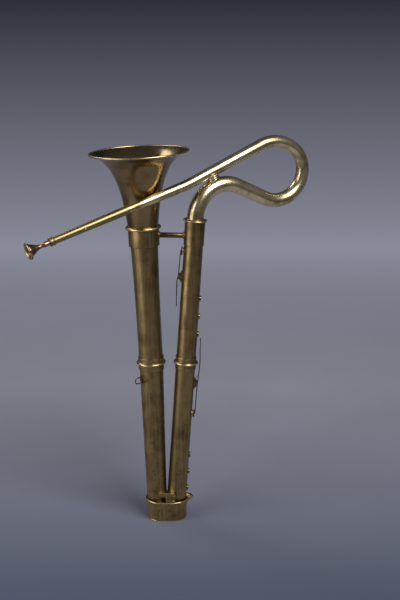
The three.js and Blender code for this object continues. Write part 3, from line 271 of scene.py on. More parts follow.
def edit_all():
    """Enters edit mode with every vertex selected."""
    bpy.ops.object.mode_set(mode="EDIT")
    bpy.ops.mesh.select_mode(type="VERT")
    bpy.ops.mesh.select_all(action="SELECT")


def point(name, x, y, z):
    """A piece of one vertex, selected in edit mode, from which an outline is drawn."""
    piece = start(bpy.ops.mesh.primitive_plane_add, name, size=MM)
    edit_all()
    bpy.ops.mesh.merge(type="CENTER")
    bpy.ops.transform.translate(value=(x * MM, y * MM, z * MM))
    return piece


def turned(name, outline, place, steps=96):
    """Turns an outline of (radius, height) as on a lathe, and sets it in its place."""
    if outline[0][0] > 0:
        outline = outline + outline[:1]
    piece = point(name, outline[0][0], 0, outline[0][1])
    for (near, low), (far, high) in zip(outline, outline[1:]):
        extrude(x=far - near, z=high - low)
    bpy.ops.mesh.select_all(action="SELECT")
    bpy.ops.mesh.spin(steps=steps, angle=2 * pi, center=(0, 0, 0), axis=(0, 0, 1))
    closed(piece)
    piece.data.transform(place)
    return piece


def rod(name, radius, low, high, place, steps=96):
    """A plain round bar along the Z of its place."""
    return turned(name, [(0, low), (radius, low), (radius, high), (0, high)], place, steps)


def combine(piece, others, operation):
    """Cuts others from a piece, joins them to it or keeps what it shares with them; clears them."""
    for other in others:
        only(piece)
        step = piece.modifiers.new("step", "BOOLEAN")
        step.operation = operation
        step.solver = "EXACT"
        step.use_self = operation == "UNION"
        step.object = other
        bpy.ops.object.modifier_apply(modifier=step.name)
        bpy.data.objects.remove(other)
    return piece


GROUND = Matrix.Identity(4)
wide_lower = set_in(GROUND, x=-(WIDE_FOOT + FOOT_GAP / 2), z=PLATE_TOP, lean=-WIDE_LEAN)
narrow_lower = set_in(GROUND, x=NARROW_FOOT + FOOT_GAP / 2, z=PLATE_TOP, lean=NARROW_LEAN)
top_plate = oval("top_plate", [(PLATE_FLOOR, 0), (PLATE_TOP, 0)])
combine(top_plate, [
    rod("spigot_hole", foot - SHEET, -SPIGOT_HOLE_REACH, SPIGOT_HOLE_REACH, limb)
    for foot, limb in ((WIDE_FOOT, wide_lower), (NARROW_FOOT, narrow_lower))
], "DIFFERENCE")
fasten(top_plate, tarnished_sheet, "horn_body", "dull_brass", "butt_top_plate")

# Spigots: two short tubes of sheet brass, soldered into the top plate to hold the limbs' feet.
# They are hidden inside the feet, so the CAD's own solids stay, with the sheet's finish.
for name in ("butt_spigot_wide", "butt_spigot_narrow"):
    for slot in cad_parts[name].material_slots:
        slot.material = tarnished_sheet

# Lower half of the wide limb: a cone of sheet brass, hammered on a mandrel and brazed at a seam.
# Its foot is cut flush with the butt's top plate.
WIDE_MIDDLE = 27.3
WIDE_LOWER_LENGTH = 338
UNDER_FOOT = -4
CLEAR = 0.05
BLOCK_HALF = 100


def below_plate():
    """A block that holds everything under the limbs' feet."""
    return start(bpy.ops.mesh.primitive_cube_add, "below", size=2 * BLOCK_HALF * MM,
                 location=(0, 0, (PLATE_TOP + CLEAR - BLOCK_HALF) * MM))


def lower_tube(name, foot, middle, length, limb, holes):
    """A limb's lower half, open at both ends, with its side holes."""
    tube = turned(name, [
        (foot - SHEET, UNDER_FOOT), (foot, UNDER_FOOT), (foot, 0), (middle, length),
        (middle - SHEET, length), (foot - SHEET, 0),
    ], limb, 128)
    return combine(tube, [below_plate()] + holes, "DIFFERENCE")


wide_lower_tube = lower_tube("wide_lower_tube", WIDE_FOOT, WIDE_MIDDLE, WIDE_LOWER_LENGTH,
                             wide_lower, [])
fasten(wide_lower_tube, tarnished_sheet, "horn_body", "dull_brass", "wide_lower_limb")

# Lower half of the narrow limb: nearly a plain tube of sheet brass, brazed at a seam.
# It is drilled for three finger holes and for the lower key's tone hole.
NARROW_MIDDLE = 22.3
NARROW_LOWER_LENGTH = WIDE_LOWER_LENGTH * cos(radians(WIDE_LEAN)) / cos(radians(NARROW_LEAN))
HOLE_RADIUS = 4.4
HOLE_PITCH = 42
FIRST_HOLE = 30
LOWER_HOLES = [FIRST_HOLE + HOLE_PITCH * i for i in range(3)]
FINGER_KEY_DROP = 47.5
FINGER_KEY_LEVEL = NARROW_LOWER_LENGTH - FINGER_KEY_DROP
FINGER_CUP_AT = 74
FINGER_TONE_HOLE = 5
AIR_REACH = 40
SIDEWAYS = Matrix.Rotation(pi / 2, 4, "Y")


def air(radius, limb, level, turn=0):
    """The air of a side hole, from the limb's middle outwards."""
    return rod("air", radius, 0, AIR_REACH, set_in(limb, z=level, turn=turn) @ SIDEWAYS, 48)


narrow_lower_tube = lower_tube(
    "narrow_lower_tube", NARROW_FOOT, NARROW_MIDDLE, NARROW_LOWER_LENGTH, narrow_lower,
    [air(HOLE_RADIUS, narrow_lower, at) for at in LOWER_HOLES]
    + [air(FINGER_TONE_HOLE, narrow_lower, FINGER_KEY_LEVEL - FINGER_CUP_AT)],
)
fasten(narrow_lower_tube, tarnished_sheet, "horn_body", "dull_brass", "narrow_lower_limb")

# Collar of the butt: a band of sheet brass round its top, which holds the limbs' feet together.
# It is deeper at its ends and beaten out into a lip under the narrow limb; its edge is rolled.
COLLAR = 1.6
COLLAR_TOP = PLATE_TOP + 5
COLLAR_BOTTOM = PLATE_FLOOR - 1
COLLAR_END_DROP = 9
COLLAR_SPREAD = 1.2
COLLAR_FLARE = 11.5
COLLAR_CURVE = 2.474
COLLAR_STEPS = 216
FACE_STEPS = 14
COLLAR_ROLL = 1.8
ROLL_PAST = 0.9
ROLL_STEPS = 16


def steps_between(low, high, count):
    """Evenly spaced values from low to high."""
    return [low + (high - low) * i / count for i in range(count + 1)]


def oval_point(angle, growth):
    """A point of the oval, grown by a width, at an angle that runs evenly round its edge."""
    side = 2 * END_CENTRE
    end = pi * BUTT_HALF_DEPTH
    whole = 2 * (side + end)
    along = (angle / (2 * pi) * whole + whole + end / 2) % whole
    radius = BUTT_HALF_DEPTH + growth
    if along < end:
        turn = along / BUTT_HALF_DEPTH - pi / 2
        return END_CENTRE + radius * cos(turn), radius * sin(turn)
    if along < end + side:
        return END_CENTRE - (along - end), radius
    if along < 2 * end + side:
        turn = (along - end - side) / BUTT_HALF_DEPTH + pi / 2
        return -END_CENTRE + radius * cos(turn), radius * sin(turn)
    return -END_CENTRE + (along - 2 * end - side), -radius


def collar_section(angle):
    """The collar's section at an angle, as (growth, height): up the inside, over the lip, down."""
    bottom = COLLAR_BOTTOM - COLLAR_END_DROP * cos(angle) ** 2
    spread = COLLAR_SPREAD + COLLAR_FLARE * max(0, cos(angle / 2)) ** 10
    rise = COLLAR_TOP - 2 * COLLAR_ROLL - bottom
    face = [(FIT + spread * share ** COLLAR_CURVE, bottom + rise * share)
            for share in steps_between(0, 1, FACE_STEPS)]
    middle = FIT + spread + COLLAR / 2
    lip = [(middle - COLLAR_ROLL * cos(a), COLLAR_TOP - COLLAR_ROLL + COLLAR_ROLL * sin(a))
           for a in steps_between(-ROLL_PAST, pi + ROLL_PAST, ROLL_STEPS)]
    return face + lip + [(growth + COLLAR, height) for growth, height in reversed(face)]


def collar_band():
    """A grid rolled round the butt, one way along the band and the other round its section."""
    sections = len(collar_section(0))
    piece = start(bpy.ops.mesh.primitive_grid_add, "collar_band", x_subdivisions=COLLAR_STEPS,
                  y_subdivisions=sections, size=1)
    for vertex in piece.data.vertices:
        angle = 2 * pi * round((vertex.co.x + 0.5) * COLLAR_STEPS) / COLLAR_STEPS % (2 * pi)
        level = round((vertex.co.y + 0.5) * sections) % sections
        growth, height = collar_section(angle)[level]
        x, y = oval_point(angle, growth)
        vertex.co = Vector((x, y, height)) * MM
    bpy.ops.object.mode_set(mode="EDIT")
    return closed(piece)


fasten(collar_band(), tarnished_sheet, "horn_body", "dull_brass", "butt_collar",
       worn=lambda out, up: up > COLLAR_TOP - 1.7 * COLLAR_ROLL)

# Collar screws: two slotted brass screws that hold the collar to the butt at its round ends.
# They are turned and sawn by hand, brown with age, and sunk a little into the flared face.
SCREW_LEVEL = PLATE_TOP + 1.4
COLLAR_FACE = BUTT_HALF_DEPTH + FIT + COLLAR
SCREW_LENGTH = 4.5
SCREW_SHANK = 1.1
SCREW_HEAD = 2.1
SCREW_STAND = 0.4
COLLAR_CROWN = 2.1
SLOT_SIZE = (1, 6, 0.6, 1)
SLOT_TURN = 35
# Old turned screws, never polished: almost black brass with a dull glint on the crown.
dark_brass = brass("blackened screw brass", "6a583c", "332819", "1c150c", 0.38, cloud_mm=9,
                   tarnished=0.6, spotted=0.3, streaked=0.05, wavy_mm=0.02)


def slotted_screw(name, face, crown, place):
    """A cheese head with a rounded crown and a sawn slot, on a short shank; it points along X."""
    screw = turned(name, [
        (0, face - SCREW_LENGTH), (SCREW_SHANK, face - SCREW_LENGTH), (SCREW_SHANK, face),
        (SCREW_HEAD, face), (SCREW_HEAD, face + crown * 0.5),
        (SCREW_HEAD * 0.86, face + crown * 0.82), (SCREW_HEAD * 0.5, face + crown * 0.96),
        (0, face + crown),
    ], place @ SIDEWAYS, 40)
    slot = start(bpy.ops.mesh.primitive_cube_add, "slot", size=MM)
    slot.data.transform(place @ Matrix.Translation(Vector((face + crown, 0, 0)) * MM)
                        @ Matrix.Rotation(radians(SLOT_TURN), 4, "X")
                        @ Matrix.Diagonal(SLOT_SIZE))
    return combine(screw, [slot], "DIFFERENCE")


for side, x, turn in (("left", -END_CENTRE, 235), ("right", END_CENTRE, -77)):
    screw = slotted_screw(f"collar_screw_{side}", COLLAR_FACE + SCREW_STAND, COLLAR_CROWN,
                          set_in(GROUND, x=x, z=SCREW_LEVEL, turn=turn))
    fasten(screw, dark_brass, "horn_body", "dark_brass", f"butt_collar_screw_{side}")

# Bracket: a bar across the fronts of both limbs, with a tongue behind the collar's lip.
# It is cast brass, filed flat and soldered to the limbs; its upper edge catches the light.
BAR_RISE = 20.5
BAR_LEVEL = PLATE_TOP + BAR_RISE
BAR_HALF_LENGTH = 19.5
BAR_HALF_HEIGHT = 5
BAR_FRONT = WIDE_FOOT + 6
BAR_BACK = WIDE_FOOT * 0.55
TONGUE_FLOOR = PLATE_TOP + FIT
TONGUE_STRAIGHT = 10
TONGUE_LEFT = -2
TONGUE_RIGHT = 21
TONGUE = 2


def soften(piece, width, segments=3, angle=40):
    """Rounds the sharp edges of a piece."""
    only(piece)
    step = piece.modifiers.new("step", "BEVEL")
    step.width = width * MM
    step.segments = segments
    step.limit_method = "ANGLE"
    step.angle_limit = radians(angle)
    bpy.ops.object.modifier_apply(modifier=step.name)
    return piece


def block(name, low, high):
    """A block between two corners in millimetres."""
    return start(bpy.ops.mesh.primitive_cube_add, name, size=1,
                 location=[(a + b) / 2 * MM for a, b in zip(low, high)],
                 scale=[(b - a) * MM for a, b in zip(low, high)])


def limb_core(radius_low, radius_high, length, place):
    """What a limb fills, for seating pieces on it."""
    return turned("core", [(0, 0), (radius_low, 0), (radius_high, length), (0, length)], place, 128)


tongue = block("tongue", (TONGUE_LEFT, -BUTT_HALF_DEPTH, TONGUE_FLOOR),
               (TONGUE_RIGHT, -BUTT_HALF_DEPTH + TONGUE, TONGUE_FLOOR + TONGUE_STRAIGHT))
bpy.ops.object.mode_set(mode="EDIT")
pick(tongue, "FACE", lambda face: face.normal.z > 0.9)
extrude(y=BUTT_HALF_DEPTH - BAR_FRONT, z=BAR_LEVEL - TONGUE_FLOOR - TONGUE_STRAIGHT)
soften(closed(tongue), 0.5, 2, 20)
bracket = soften(block("bracket", (-BAR_HALF_LENGTH, -BAR_FRONT, BAR_LEVEL - BAR_HALF_HEIGHT),
                       (BAR_HALF_LENGTH, -BAR_BACK, BAR_LEVEL + BAR_HALF_HEIGHT)), 0.7)
combine(bracket, [tongue], "UNION")
combine(bracket, [
    limb_core(WIDE_FOOT, WIDE_MIDDLE, WIDE_LOWER_LENGTH, wide_lower),
    limb_core(NARROW_FOOT, NARROW_MIDDLE, NARROW_LOWER_LENGTH, narrow_lower),
], "DIFFERENCE")
# Cast brass, filed by hand and browned: a duller, grainier shine than the sheet beside it.
filed_brass = brass("filed cast brass", "8c774c", "4c3b23", "241a0f", 0.34, cloud_mm=14,
                    tarnished=0.45, streaked=0.15, wavy_mm=0.04)
fasten(bracket, filed_brass, "horn_body", "dull_brass", "butt_bracket",
       worn=lambda out, up: up > BAR_LEVEL + BAR_HALF_HEIGHT - 1)

# Bracket screw: a small brass screw through the tongue, just above the collar's rim.
# It is turned and slotted like the collar's screws, and is still bright.
BRACKET_CROWN = 1
BRACKET_SCREW_X = 16.5
BRACKET_SCREW_RISE = 7.2
bracket_screw = slotted_screw(
    "bracket_screw", BUTT_HALF_DEPTH + FIT, BRACKET_CROWN,
    set_in(GROUND, x=BRACKET_SCREW_X, z=PLATE_TOP + BRACKET_SCREW_RISE, turn=-90),
)
fasten(bracket_screw, rubbed_brass, "horn_body", "bright_brass", "butt_bracket_screw")

# Middle ferrules: sleeves over the joints between the limbs' halves, each with a bead near the top.
# The bead is drawn brass wire, soldered on and kept bright by handling.
FERRULE = 1.1
BEAD_STAND = 0.75
MIDDLE_BEAD = 2.6
MIDDLE_SLEEVE = 13
MIDDLE_COLLAR = 12
WIDE_BEND = 0.86
GROOVE = 0.22
wide_joint_gap = FIT + WIDE_MIDDLE * tan(radians(WIDE_BEND))


def groove(outside, low):
    """A line scribed round a sleeve."""
    return [(outside, low), (outside - GROOVE, low + 0.2), (outside - GROOVE, low + 0.6),
            (outside, low + 0.8)]


def ferrule(name, node, bore, sleeve, bead, bead_at, place, collar=0, lip=None):
    """A sleeve filed thin at its lower edge, with a bead, and a collar or an inward lip above."""
    outside = bore + FERRULE
    middle = outside + bead * BEAD_STAND
    solder = acos(BEAD_STAND) + 0.35
    crease = bead * sin(solder) + 0.4
    outline = [(bore, -sleeve), (outside - 0.45, -sleeve), (outside - 0.1, -sleeve + 0.35),
               (outside, -sleeve + 0.9)]
    outline += groove(outside, -sleeve + 2.3) + [(outside, bead_at - crease)]
    outline += [(middle + bead * cos(a), bead_at + bead * sin(a))
                for a in steps_between(solder - pi, pi - solder, 22)]
    top = bead_at + bead + collar
    if lip:
        outline += [(lip, outline[-1][1]), (lip, FIT), (bore, FIT)]
    elif collar:
        outline += [(outside, bead_at + crease)] + groove(outside, top - 3.1)
        outline += [(outside, top - 0.8), (outside - 0.3, top), (bore, top)]
    else:
        outline += [(outside, bead_at + crease), (outside, top), (bore, top)]
    fasten(turned(name, outline, place, 128), tarnished_sheet, "horn_body", "bright_brass", node,
           worn=lambda out, up: out > outside + 0.3, place=place)


wide_middle = set_in(wide_lower, z=WIDE_LOWER_LENGTH)
ferrule("wide_ferrule", "wide_middle_ferrule", WIDE_MIDDLE + wide_joint_gap, MIDDLE_SLEEVE,
        MIDDLE_BEAD, MIDDLE_BEAD, wide_middle, MIDDLE_COLLAR)
narrow_middle = set_in(narrow_lower, z=NARROW_LOWER_LENGTH)
ferrule("narrow_ferrule", "narrow_middle_ferrule", NARROW_MIDDLE + FIT, MIDDLE_SLEEVE,
        MIDDLE_BEAD, MIDDLE_BEAD, narrow_middle, MIDDLE_COLLAR)

# Upper half of the wide limb: a cone of sheet brass that swells towards the bell.
# It is brazed at a seam, and a tenon at its foot goes into the half below.
WIDE_TOP = 32.8
WIDE_UPPER_LENGTH = 318
WIDE_SWELL = 3
TENON = 14
wide_upper = set_in(wide_lower, z=WIDE_LOWER_LENGTH + wide_joint_gap, lean=-WIDE_BEND)


def wide_upper_radius(z):
    return WIDE_MIDDLE + (WIDE_TOP - WIDE_MIDDLE) * (z / WIDE_UPPER_LENGTH) ** WIDE_SWELL


def tenon_tube(name, tenon_radius, radius_at, length, steps, place):
    """A limb's upper half, with its wall and the tenon at its foot."""
    levels = steps_between(0, length, steps)
    outline = [(tenon_radius - SHEET, -TENON), (tenon_radius, -TENON), (tenon_radius, 0)]
    outline += [(radius_at(z), z) for z in levels]
    outline += [(radius_at(z) - SHEET, max(z, SHEET)) for z in reversed(levels)]
    outline += [(tenon_radius - SHEET, SHEET)]
    return turned(name, outline, place, 128)


wide_tenon = WIDE_MIDDLE - SHEET - FIT - TENON * tan(radians(WIDE_BEND))
wide_upper_tube = tenon_tube("wide_upper_tube", wide_tenon, wide_upper_radius,
                             WIDE_UPPER_LENGTH, 24, wide_upper)
fasten(wide_upper_tube, tarnished_sheet, "horn_body", "dull_brass", "wide_upper_limb")

# Upper half of the narrow limb: a slightly tapering tube of sheet brass, brazed at a seam.
# It is drilled for three finger holes in front and for the thumb's tone hole behind.
NARROW_TOP = 20.9
FOURTH_HOLE = 70.2
UPPER_HOLES = [FOURTH_HOLE + HOLE_PITCH * i for i in range(3)]
SOCKET_RISE = 12.4
narrow_upper = set_in(narrow_lower, z=NARROW_LOWER_LENGTH + FIT)
bell_joint = set_in(wide_upper, z=WIDE_UPPER_LENGTH)
socket_level = bell_joint.translation.z / MM + SOCKET_RISE
NARROW_LENGTH = (socket_level - PLATE_TOP) / cos(radians(NARROW_LEAN))
NARROW_UPPER_LENGTH = NARROW_LENGTH - NARROW_LOWER_LENGTH - FIT
THUMB_KEY_DROP = 129.3
THUMB_KEY_LEVEL = NARROW_UPPER_LENGTH - THUMB_KEY_DROP
THUMB_CUP_AT = 59
THUMB_TONE_HOLE = 6


def narrow_upper_radius(z):
    return NARROW_MIDDLE + (NARROW_TOP - NARROW_MIDDLE) * z / NARROW_UPPER_LENGTH


narrow_upper_tube = tenon_tube("narrow_upper_tube", NARROW_MIDDLE - SHEET - FIT,
                               narrow_upper_radius, NARROW_UPPER_LENGTH, 2, narrow_upper)
combine(narrow_upper_tube, [air(HOLE_RADIUS, narrow_upper, at) for at in UPPER_HOLES]
        + [air(THUMB_TONE_HOLE, narrow_upper, THUMB_KEY_LEVEL + THUMB_CUP_AT, 180)], "DIFFERENCE")
fasten(narrow_upper_tube, tarnished_sheet, "horn_body", "dull_brass", "narrow_upper_limb")

# Bell ferrule: the longest sleeve of sheet brass, soldered over the top of the wide limb.
# The bell sits on its stout wire bead.
BELL_BEAD = 3.2
BELL_SLEEVE = 44
BELL_SLEEVE_BORE = WIDE_TOP + FIT
ferrule("bell_ring", "bell_ferrule", BELL_SLEEVE_BORE, BELL_SLEEVE, BELL_BEAD, -BELL_BEAD,
        bell_joint)

# Socket ferrule: the sleeve of sheet brass at the top of the narrow limb, with a wire bead.
# Its inward lip is bored for the crook's tenon.
SOCKET_SLEEVE = 56
SOCKET_BEAD = 2.2
SOCKET_BORE = narrow_upper_radius(NARROW_UPPER_LENGTH - SOCKET_SLEEVE) + FIT
CROOK_TENON = NARROW_TOP - SHEET - FIT
socket = set_in(narrow_upper, z=NARROW_UPPER_LENGTH)
ferrule("socket_ring", "crook_socket_ferrule", SOCKET_BORE, SOCKET_SLEEVE, SOCKET_BEAD, 0,
        socket, lip=CROOK_TENON + FIT)

# Bell: spun from one disc of sheet brass, its flare opening faster and faster up to the lip.
# It is burnished on the lathe, and its tenon sits in the wide limb.
BELL_HEIGHT = 161
BELL_NECK = 34
BELL_LIP = 106
BELL_POWER = 0.6
BELL_STEPS = 44
BELL_CROWDING = 1.6
BELL_TENON = 25
BELL_TENON_FIT = 0.6
bell_place = set_in(bell_joint, z=FIT)
horn_start = BELL_HEIGHT / ((BELL_LIP / BELL_NECK) ** (1 / BELL_POWER) - 1)


def bell_radius(z):
    return BELL_LIP * (horn_start / (horn_start + BELL_HEIGHT - z)) ** BELL_POWER


def bell_slant(z):
    """How far the bell's wall leans outwards, in radians."""
    return atan(BELL_POWER * bell_radius(z) / (horn_start + BELL_HEIGHT - z))


bell_levels = [BELL_HEIGHT * (1 - (1 - share) ** BELL_CROWDING)
               for share in steps_between(0, 1, BELL_STEPS)]
bell_tenon = WIDE_TOP - SHEET - BELL_TENON_FIT
tenon_end = wide_upper_radius(WIDE_UPPER_LENGTH - BELL_TENON) - SHEET - BELL_TENON_FIT
bell_outline = [(tenon_end - SHEET, -BELL_TENON), (tenon_end, -BELL_TENON), (bell_tenon, 0)]
bell_outline += [(bell_radius(z), z) for z in bell_levels]
bell_outline += [(bell_radius(z) - SHEET * cos(bell_slant(z)), z + SHEET * sin(bell_slant(z)))
                 for z in reversed(bell_levels[1:])]
bell_outline += [(BELL_NECK - SHEET, SHEET), (bell_tenon - SHEET, SHEET)]
bell_cone = turned("bell_cone", bell_outline, bell_place, 192)
# Spun brass, thin and burnished: it mirrors the room in soft rings, under a thin brown.
spun_brass = brass("spun bell brass", "8f7a54", "664f34", "2b1e10", 0.2, cloud_mm=60,
                   spotted=0.3, streaked=0.2, wavy_mm=0.12, drawn=(0.1, 0.1, 1), grain_mm=0.004)
fasten(bell_cone, spun_brass, "horn_body", "dull_brass", "bell")

# Rim wire: a round brass wire at the bell's lip, over which the sheet is closed.
# It stiffens the lip, and cloths keep it bright.
WIRE = 2
lip_slant = bell_slant(BELL_HEIGHT)
wire_out = BELL_LIP + (WIRE + FIT) * sin(lip_slant)
wire_up = BELL_HEIGHT + (WIRE + FIT) * cos(lip_slant)
rim_wire = turned("rim_wire", [(wire_out + WIRE * cos(a), wire_up + WIRE * sin(a))
                               for a in steps_between(0, 2 * pi, 20)[:-1]], bell_place, 192)
fasten(rim_wire, rubbed_brass, "horn_body", "bright_brass", "bell_rim_wire")

# Finger hole bushes: six turned brass rings let into the narrow limb and soldered.
# Their lips are rounded for the fingertips.
BUSH = 6.4
BUSH_HEIGHT = 3.1
CORE_HALF = 30
holes = [(narrow_lower, NARROW_FOOT + (NARROW_MIDDLE - NARROW_FOOT) * at / NARROW_LOWER_LENGTH, at)
         for at in LOWER_HOLES]
holes += [(narrow_upper, narrow_upper_radius(at), at) for at in UPPER_HOLES]
# Turned brass, browned by sweat round the holes, with a hard small glint on each lip.
bush_brass = brass("turned bush brass", "8a744a", "4a3a22", "20170d", 0.22, cloud_mm=6,
                   tarnished=0.6, spotted=0.4, streaked=0, wavy_mm=0.01)


def core_at(surface, limb, level, half):
    """The limb's inside round a level, as a plain rod."""
    return limb_core(surface + CLEAR, surface + CLEAR, 2 * half, set_in(limb, z=level - half))


for number, (limb, surface, level) in enumerate(holes, 1):
    rim = surface + BUSH_HEIGHT
    bush = turned(f"bush_{number}", [
        (HOLE_RADIUS, surface - BUSH), (BUSH, surface - BUSH), (BUSH, rim - 1),
        (BUSH - 0.13, rim - 0.5), (BUSH - 0.5, rim - 0.13), (BUSH - 1, rim),
        (HOLE_RADIUS + 0.7, rim), (HOLE_RADIUS + 0.2, rim - 0.2), (HOLE_RADIUS, rim - 0.7),
    ], set_in(limb, z=level) @ SIDEWAYS, 64)
    combine(bush, [core_at(surface, limb, level, CORE_HALF)], "DIFFERENCE")
    fasten(bush, bush_brass, "horn_body", "dull_brass", f"finger_hole_bush_{number}")

# Brace: a round brass rod between the two limbs, with a turned flange on each sleeve.
# Rod and flanges are joined with hard solder.
BRACE = 5.9
BRACE_DROP = 19.7
BRACE_SLOPE = 2.4
FLANGE = 8.5
FLANGE_DEPTH = 2.6
FLANGE_ROOT = 7
on_wide = set_in(wide_upper, z=WIDE_UPPER_LENGTH - BRACE_DROP).translation
far_level = (on_wide.z / MM - BRACE_SLOPE - PLATE_TOP) / cos(radians(NARROW_LEAN))
on_narrow = set_in(narrow_lower, z=far_level).translation
brace_lean = atan2(on_narrow.x - on_wide.x, on_narrow.z - on_wide.z)
brace_place = Matrix.Translation(on_wide) @ Matrix.Rotation(brace_lean, 4, "Y")
brace_span = (on_narrow - on_wide).length / MM
far_end = set_in(brace_place, z=brace_span, lean=180)
wide_face = BELL_SLEEVE_BORE + FERRULE + FLANGE_DEPTH
narrow_face = SOCKET_BORE + FERRULE + FLANGE_DEPTH
# Brass that no cloth reaches: a deep brown skin with a low, broad shine.
browned_brass = brass("browned brass", "6f5c3c", "3c301e", "1e160d", 0.34, cloud_mm=12,
                      spotted=0.35, streaked=0.2, wavy_mm=0.02)
# Brass with a seam of copper-rich hard solder: redder and duller than the sheet round it.
soldered_brass = brass("hard soldered brass", "a27a50", "6a4a30", "33241a", 0.38, cloud_mm=9,
                       spotted=0.4, streaked=0.1, wavy_mm=0.03)
for side, node, face, place, sleeve, joint in (
    ("left", "brace_flange_wide", wide_face, brace_place, BELL_SLEEVE, bell_joint),
    ("right", "brace_flange_narrow", narrow_face, far_end, SOCKET_SLEEVE, socket),
):
    flange = turned(f"brace_flange_{side}", [
        (0, face - FLANGE_ROOT), (FLANGE, face - FLANGE_ROOT), (FLANGE, face - 1.5),
        (FLANGE - 0.4, face - 1), (FLANGE - 1.1, face - 0.8), (FLANGE - 1.6, face - 0.45),
        (BRACE + 0.5, face), (0, face),
    ], place, 72)
    combine(flange, [rod("sleeve", face - FLANGE_DEPTH, -sleeve, 0, joint, 128)], "DIFFERENCE")
    fasten(flange, soldered_brass, "horn_body", "dull_brass", node)
bar_end = brace_span - narrow_face
brace_bar = turned("brace_bar", [
    (0, wide_face), (BRACE - 0.2, wide_face), (BRACE, wide_face + 0.4), (BRACE, bar_end - 0.4),
    (BRACE - 0.2, bar_end), (0, bar_end),
], brace_place, 72)
fasten(brace_bar, browned_brass, "horn_body", "dull_brass", "brace_rod")

# Strap eye: a lozenge of sheet brass, bent to the limb and soldered on.
# A bored knuckle is brazed across it.
STRAP_DROP = 33
STRAP_LEVEL = WIDE_LOWER_LENGTH - STRAP_DROP
STRAP_TURN = 222
STRAP_PLATE = 1.6
LOZENGE_HALVES = (11, 18)
LOZENGE_REACH = 60
KNUCKLE = 2.7
KNUCKLE_HALF = 5
EYE = 1.6


def mirrored(half):
    """An outline from its upper half: the same again below."""
    return [(out, -up) for out, up in reversed(half)] + half


strap_place = set_in(wide_lower, z=STRAP_LEVEL, turn=STRAP_TURN)
strap_inside = WIDE_FOOT + (WIDE_MIDDLE - WIDE_FOOT) * STRAP_LEVEL / WIDE_LOWER_LENGTH + CLEAR
strap_outside = strap_inside - CLEAR + FIT + STRAP_PLATE
lozenge = start(bpy.ops.mesh.primitive_circle_add, "strap_plate", vertices=4, radius=1,
                fill_type="NGON")
edit_all()
bpy.ops.transform.resize(value=(LOZENGE_HALVES[0] * MM, LOZENGE_HALVES[1] * MM, 1))
extrude(z=LOZENGE_REACH)
closed(lozenge)
lozenge.data.transform(strap_place @ SIDEWAYS)
combine(lozenge, [turned("skin", mirrored([(strap_outside, 30), (strap_inside, 30)]),
                         set_in(wide_lower, z=STRAP_LEVEL), 128)], "INTERSECT")
soften(lozenge, 0.35, 2, 50)
knuckle_at = strap_outside + KNUCKLE * 0.8
knuckle_place = set_in(strap_place, x=knuckle_at)
combine(lozenge, [turned("knuckle", mirrored([
    (KNUCKLE, KNUCKLE_HALF - 0.4), (KNUCKLE - 0.4, KNUCKLE_HALF), (0, KNUCKLE_HALF),
]), knuckle_place, 48)], "UNION")
combine(lozenge, [rod("bore", EYE, -2 * KNUCKLE_HALF, 2 * KNUCKLE_HALF, knuckle_place, 32)],
        "DIFFERENCE")
fasten(lozenge, browned_brass, "horn_body", "dull_brass", "strap_eye")

# Strap ring: a loop of brass wire, bent up and brazed shut.
# It hangs in the knuckle and takes the player's strap.
STRAP_WIRE = 1.3
LOOP_HALF = 6.8
LOOP_CORNER = 1.5
LOOP_LENGTH = 9


def route(heading, moves, step=3):
    """Stops (x, z, heading, travelled) along runs and bends in the XZ plane."""
    stops = [(0, 0, radians(heading), 0)]
    for kind, size, turn in moves:
        count = max(1, ceil(abs(turn) / step))
        for _ in range(count):
            x, z, way, travelled = stops[-1]
            if kind == "run":
                stops.append((x + size * cos(way), z + size * sin(way), way, travelled + size))
                continue
            part = radians(turn) / count
            side = size if turn > 0 else -size
            stops.append((x + side * (sin(way + part) - sin(way)),
                          z - side * (cos(way + part) - cos(way)),
                          way + part, travelled + abs(part) * size))
    return stops


def swept(name, stops, radius_at, sides, place, loop=False):
    """Draws a round section along stops: extruded, turned and resized from one to the next."""
    x, z, way, travelled = stops[0]
    piece = start(
        bpy.ops.mesh.primitive_circle_add, name, vertices=sides,
        radius=radius_at(travelled) * MM, location=(x * MM, 0, z * MM),
        rotation=(0, pi / 2 - way, 0), fill_type="NOTHING" if loop else "NGON",
    )
    edit_all()
    for (x0, z0, way0, from_there), (x1, z1, way1, to_here) in zip(stops, stops[1:]):
        middle = (x1 * MM, 0, z1 * MM)
        extrude(x=x1 - x0, z=z1 - z0)
        if way1 != way0:
            bpy.ops.transform.rotate(value=way1 - way0, orient_axis="Y", center_override=middle)
        growth = radius_at(to_here) / radius_at(from_there)
        if growth != 1:
            bpy.ops.transform.resize(value=(growth, growth, growth), center_override=middle)
    if loop:
        bridge_ends()
    closed(piece)
    piece.data.transform(place)
    return piece


loop_side = 2 * (LOOP_HALF - LOOP_CORNER)
strap_stops = route(90, [
    ("run", loop_side, 0), ("bend", LOOP_CORNER, -90), ("run", LOOP_LENGTH, 0),
    ("bend", LOOP_HALF, -180), ("run", LOOP_LENGTH, 0), ("bend", LOOP_CORNER, -90),
], step=10)[1:-1]
strap_loop = swept("strap_loop", strap_stops, lambda travelled: STRAP_WIRE, 20,
                   set_in(strap_place, x=knuckle_at, z=-loop_side / 2), loop=True)
fasten(strap_loop, dark_brass, "horn_body", "dark_brass", "strap_ring")

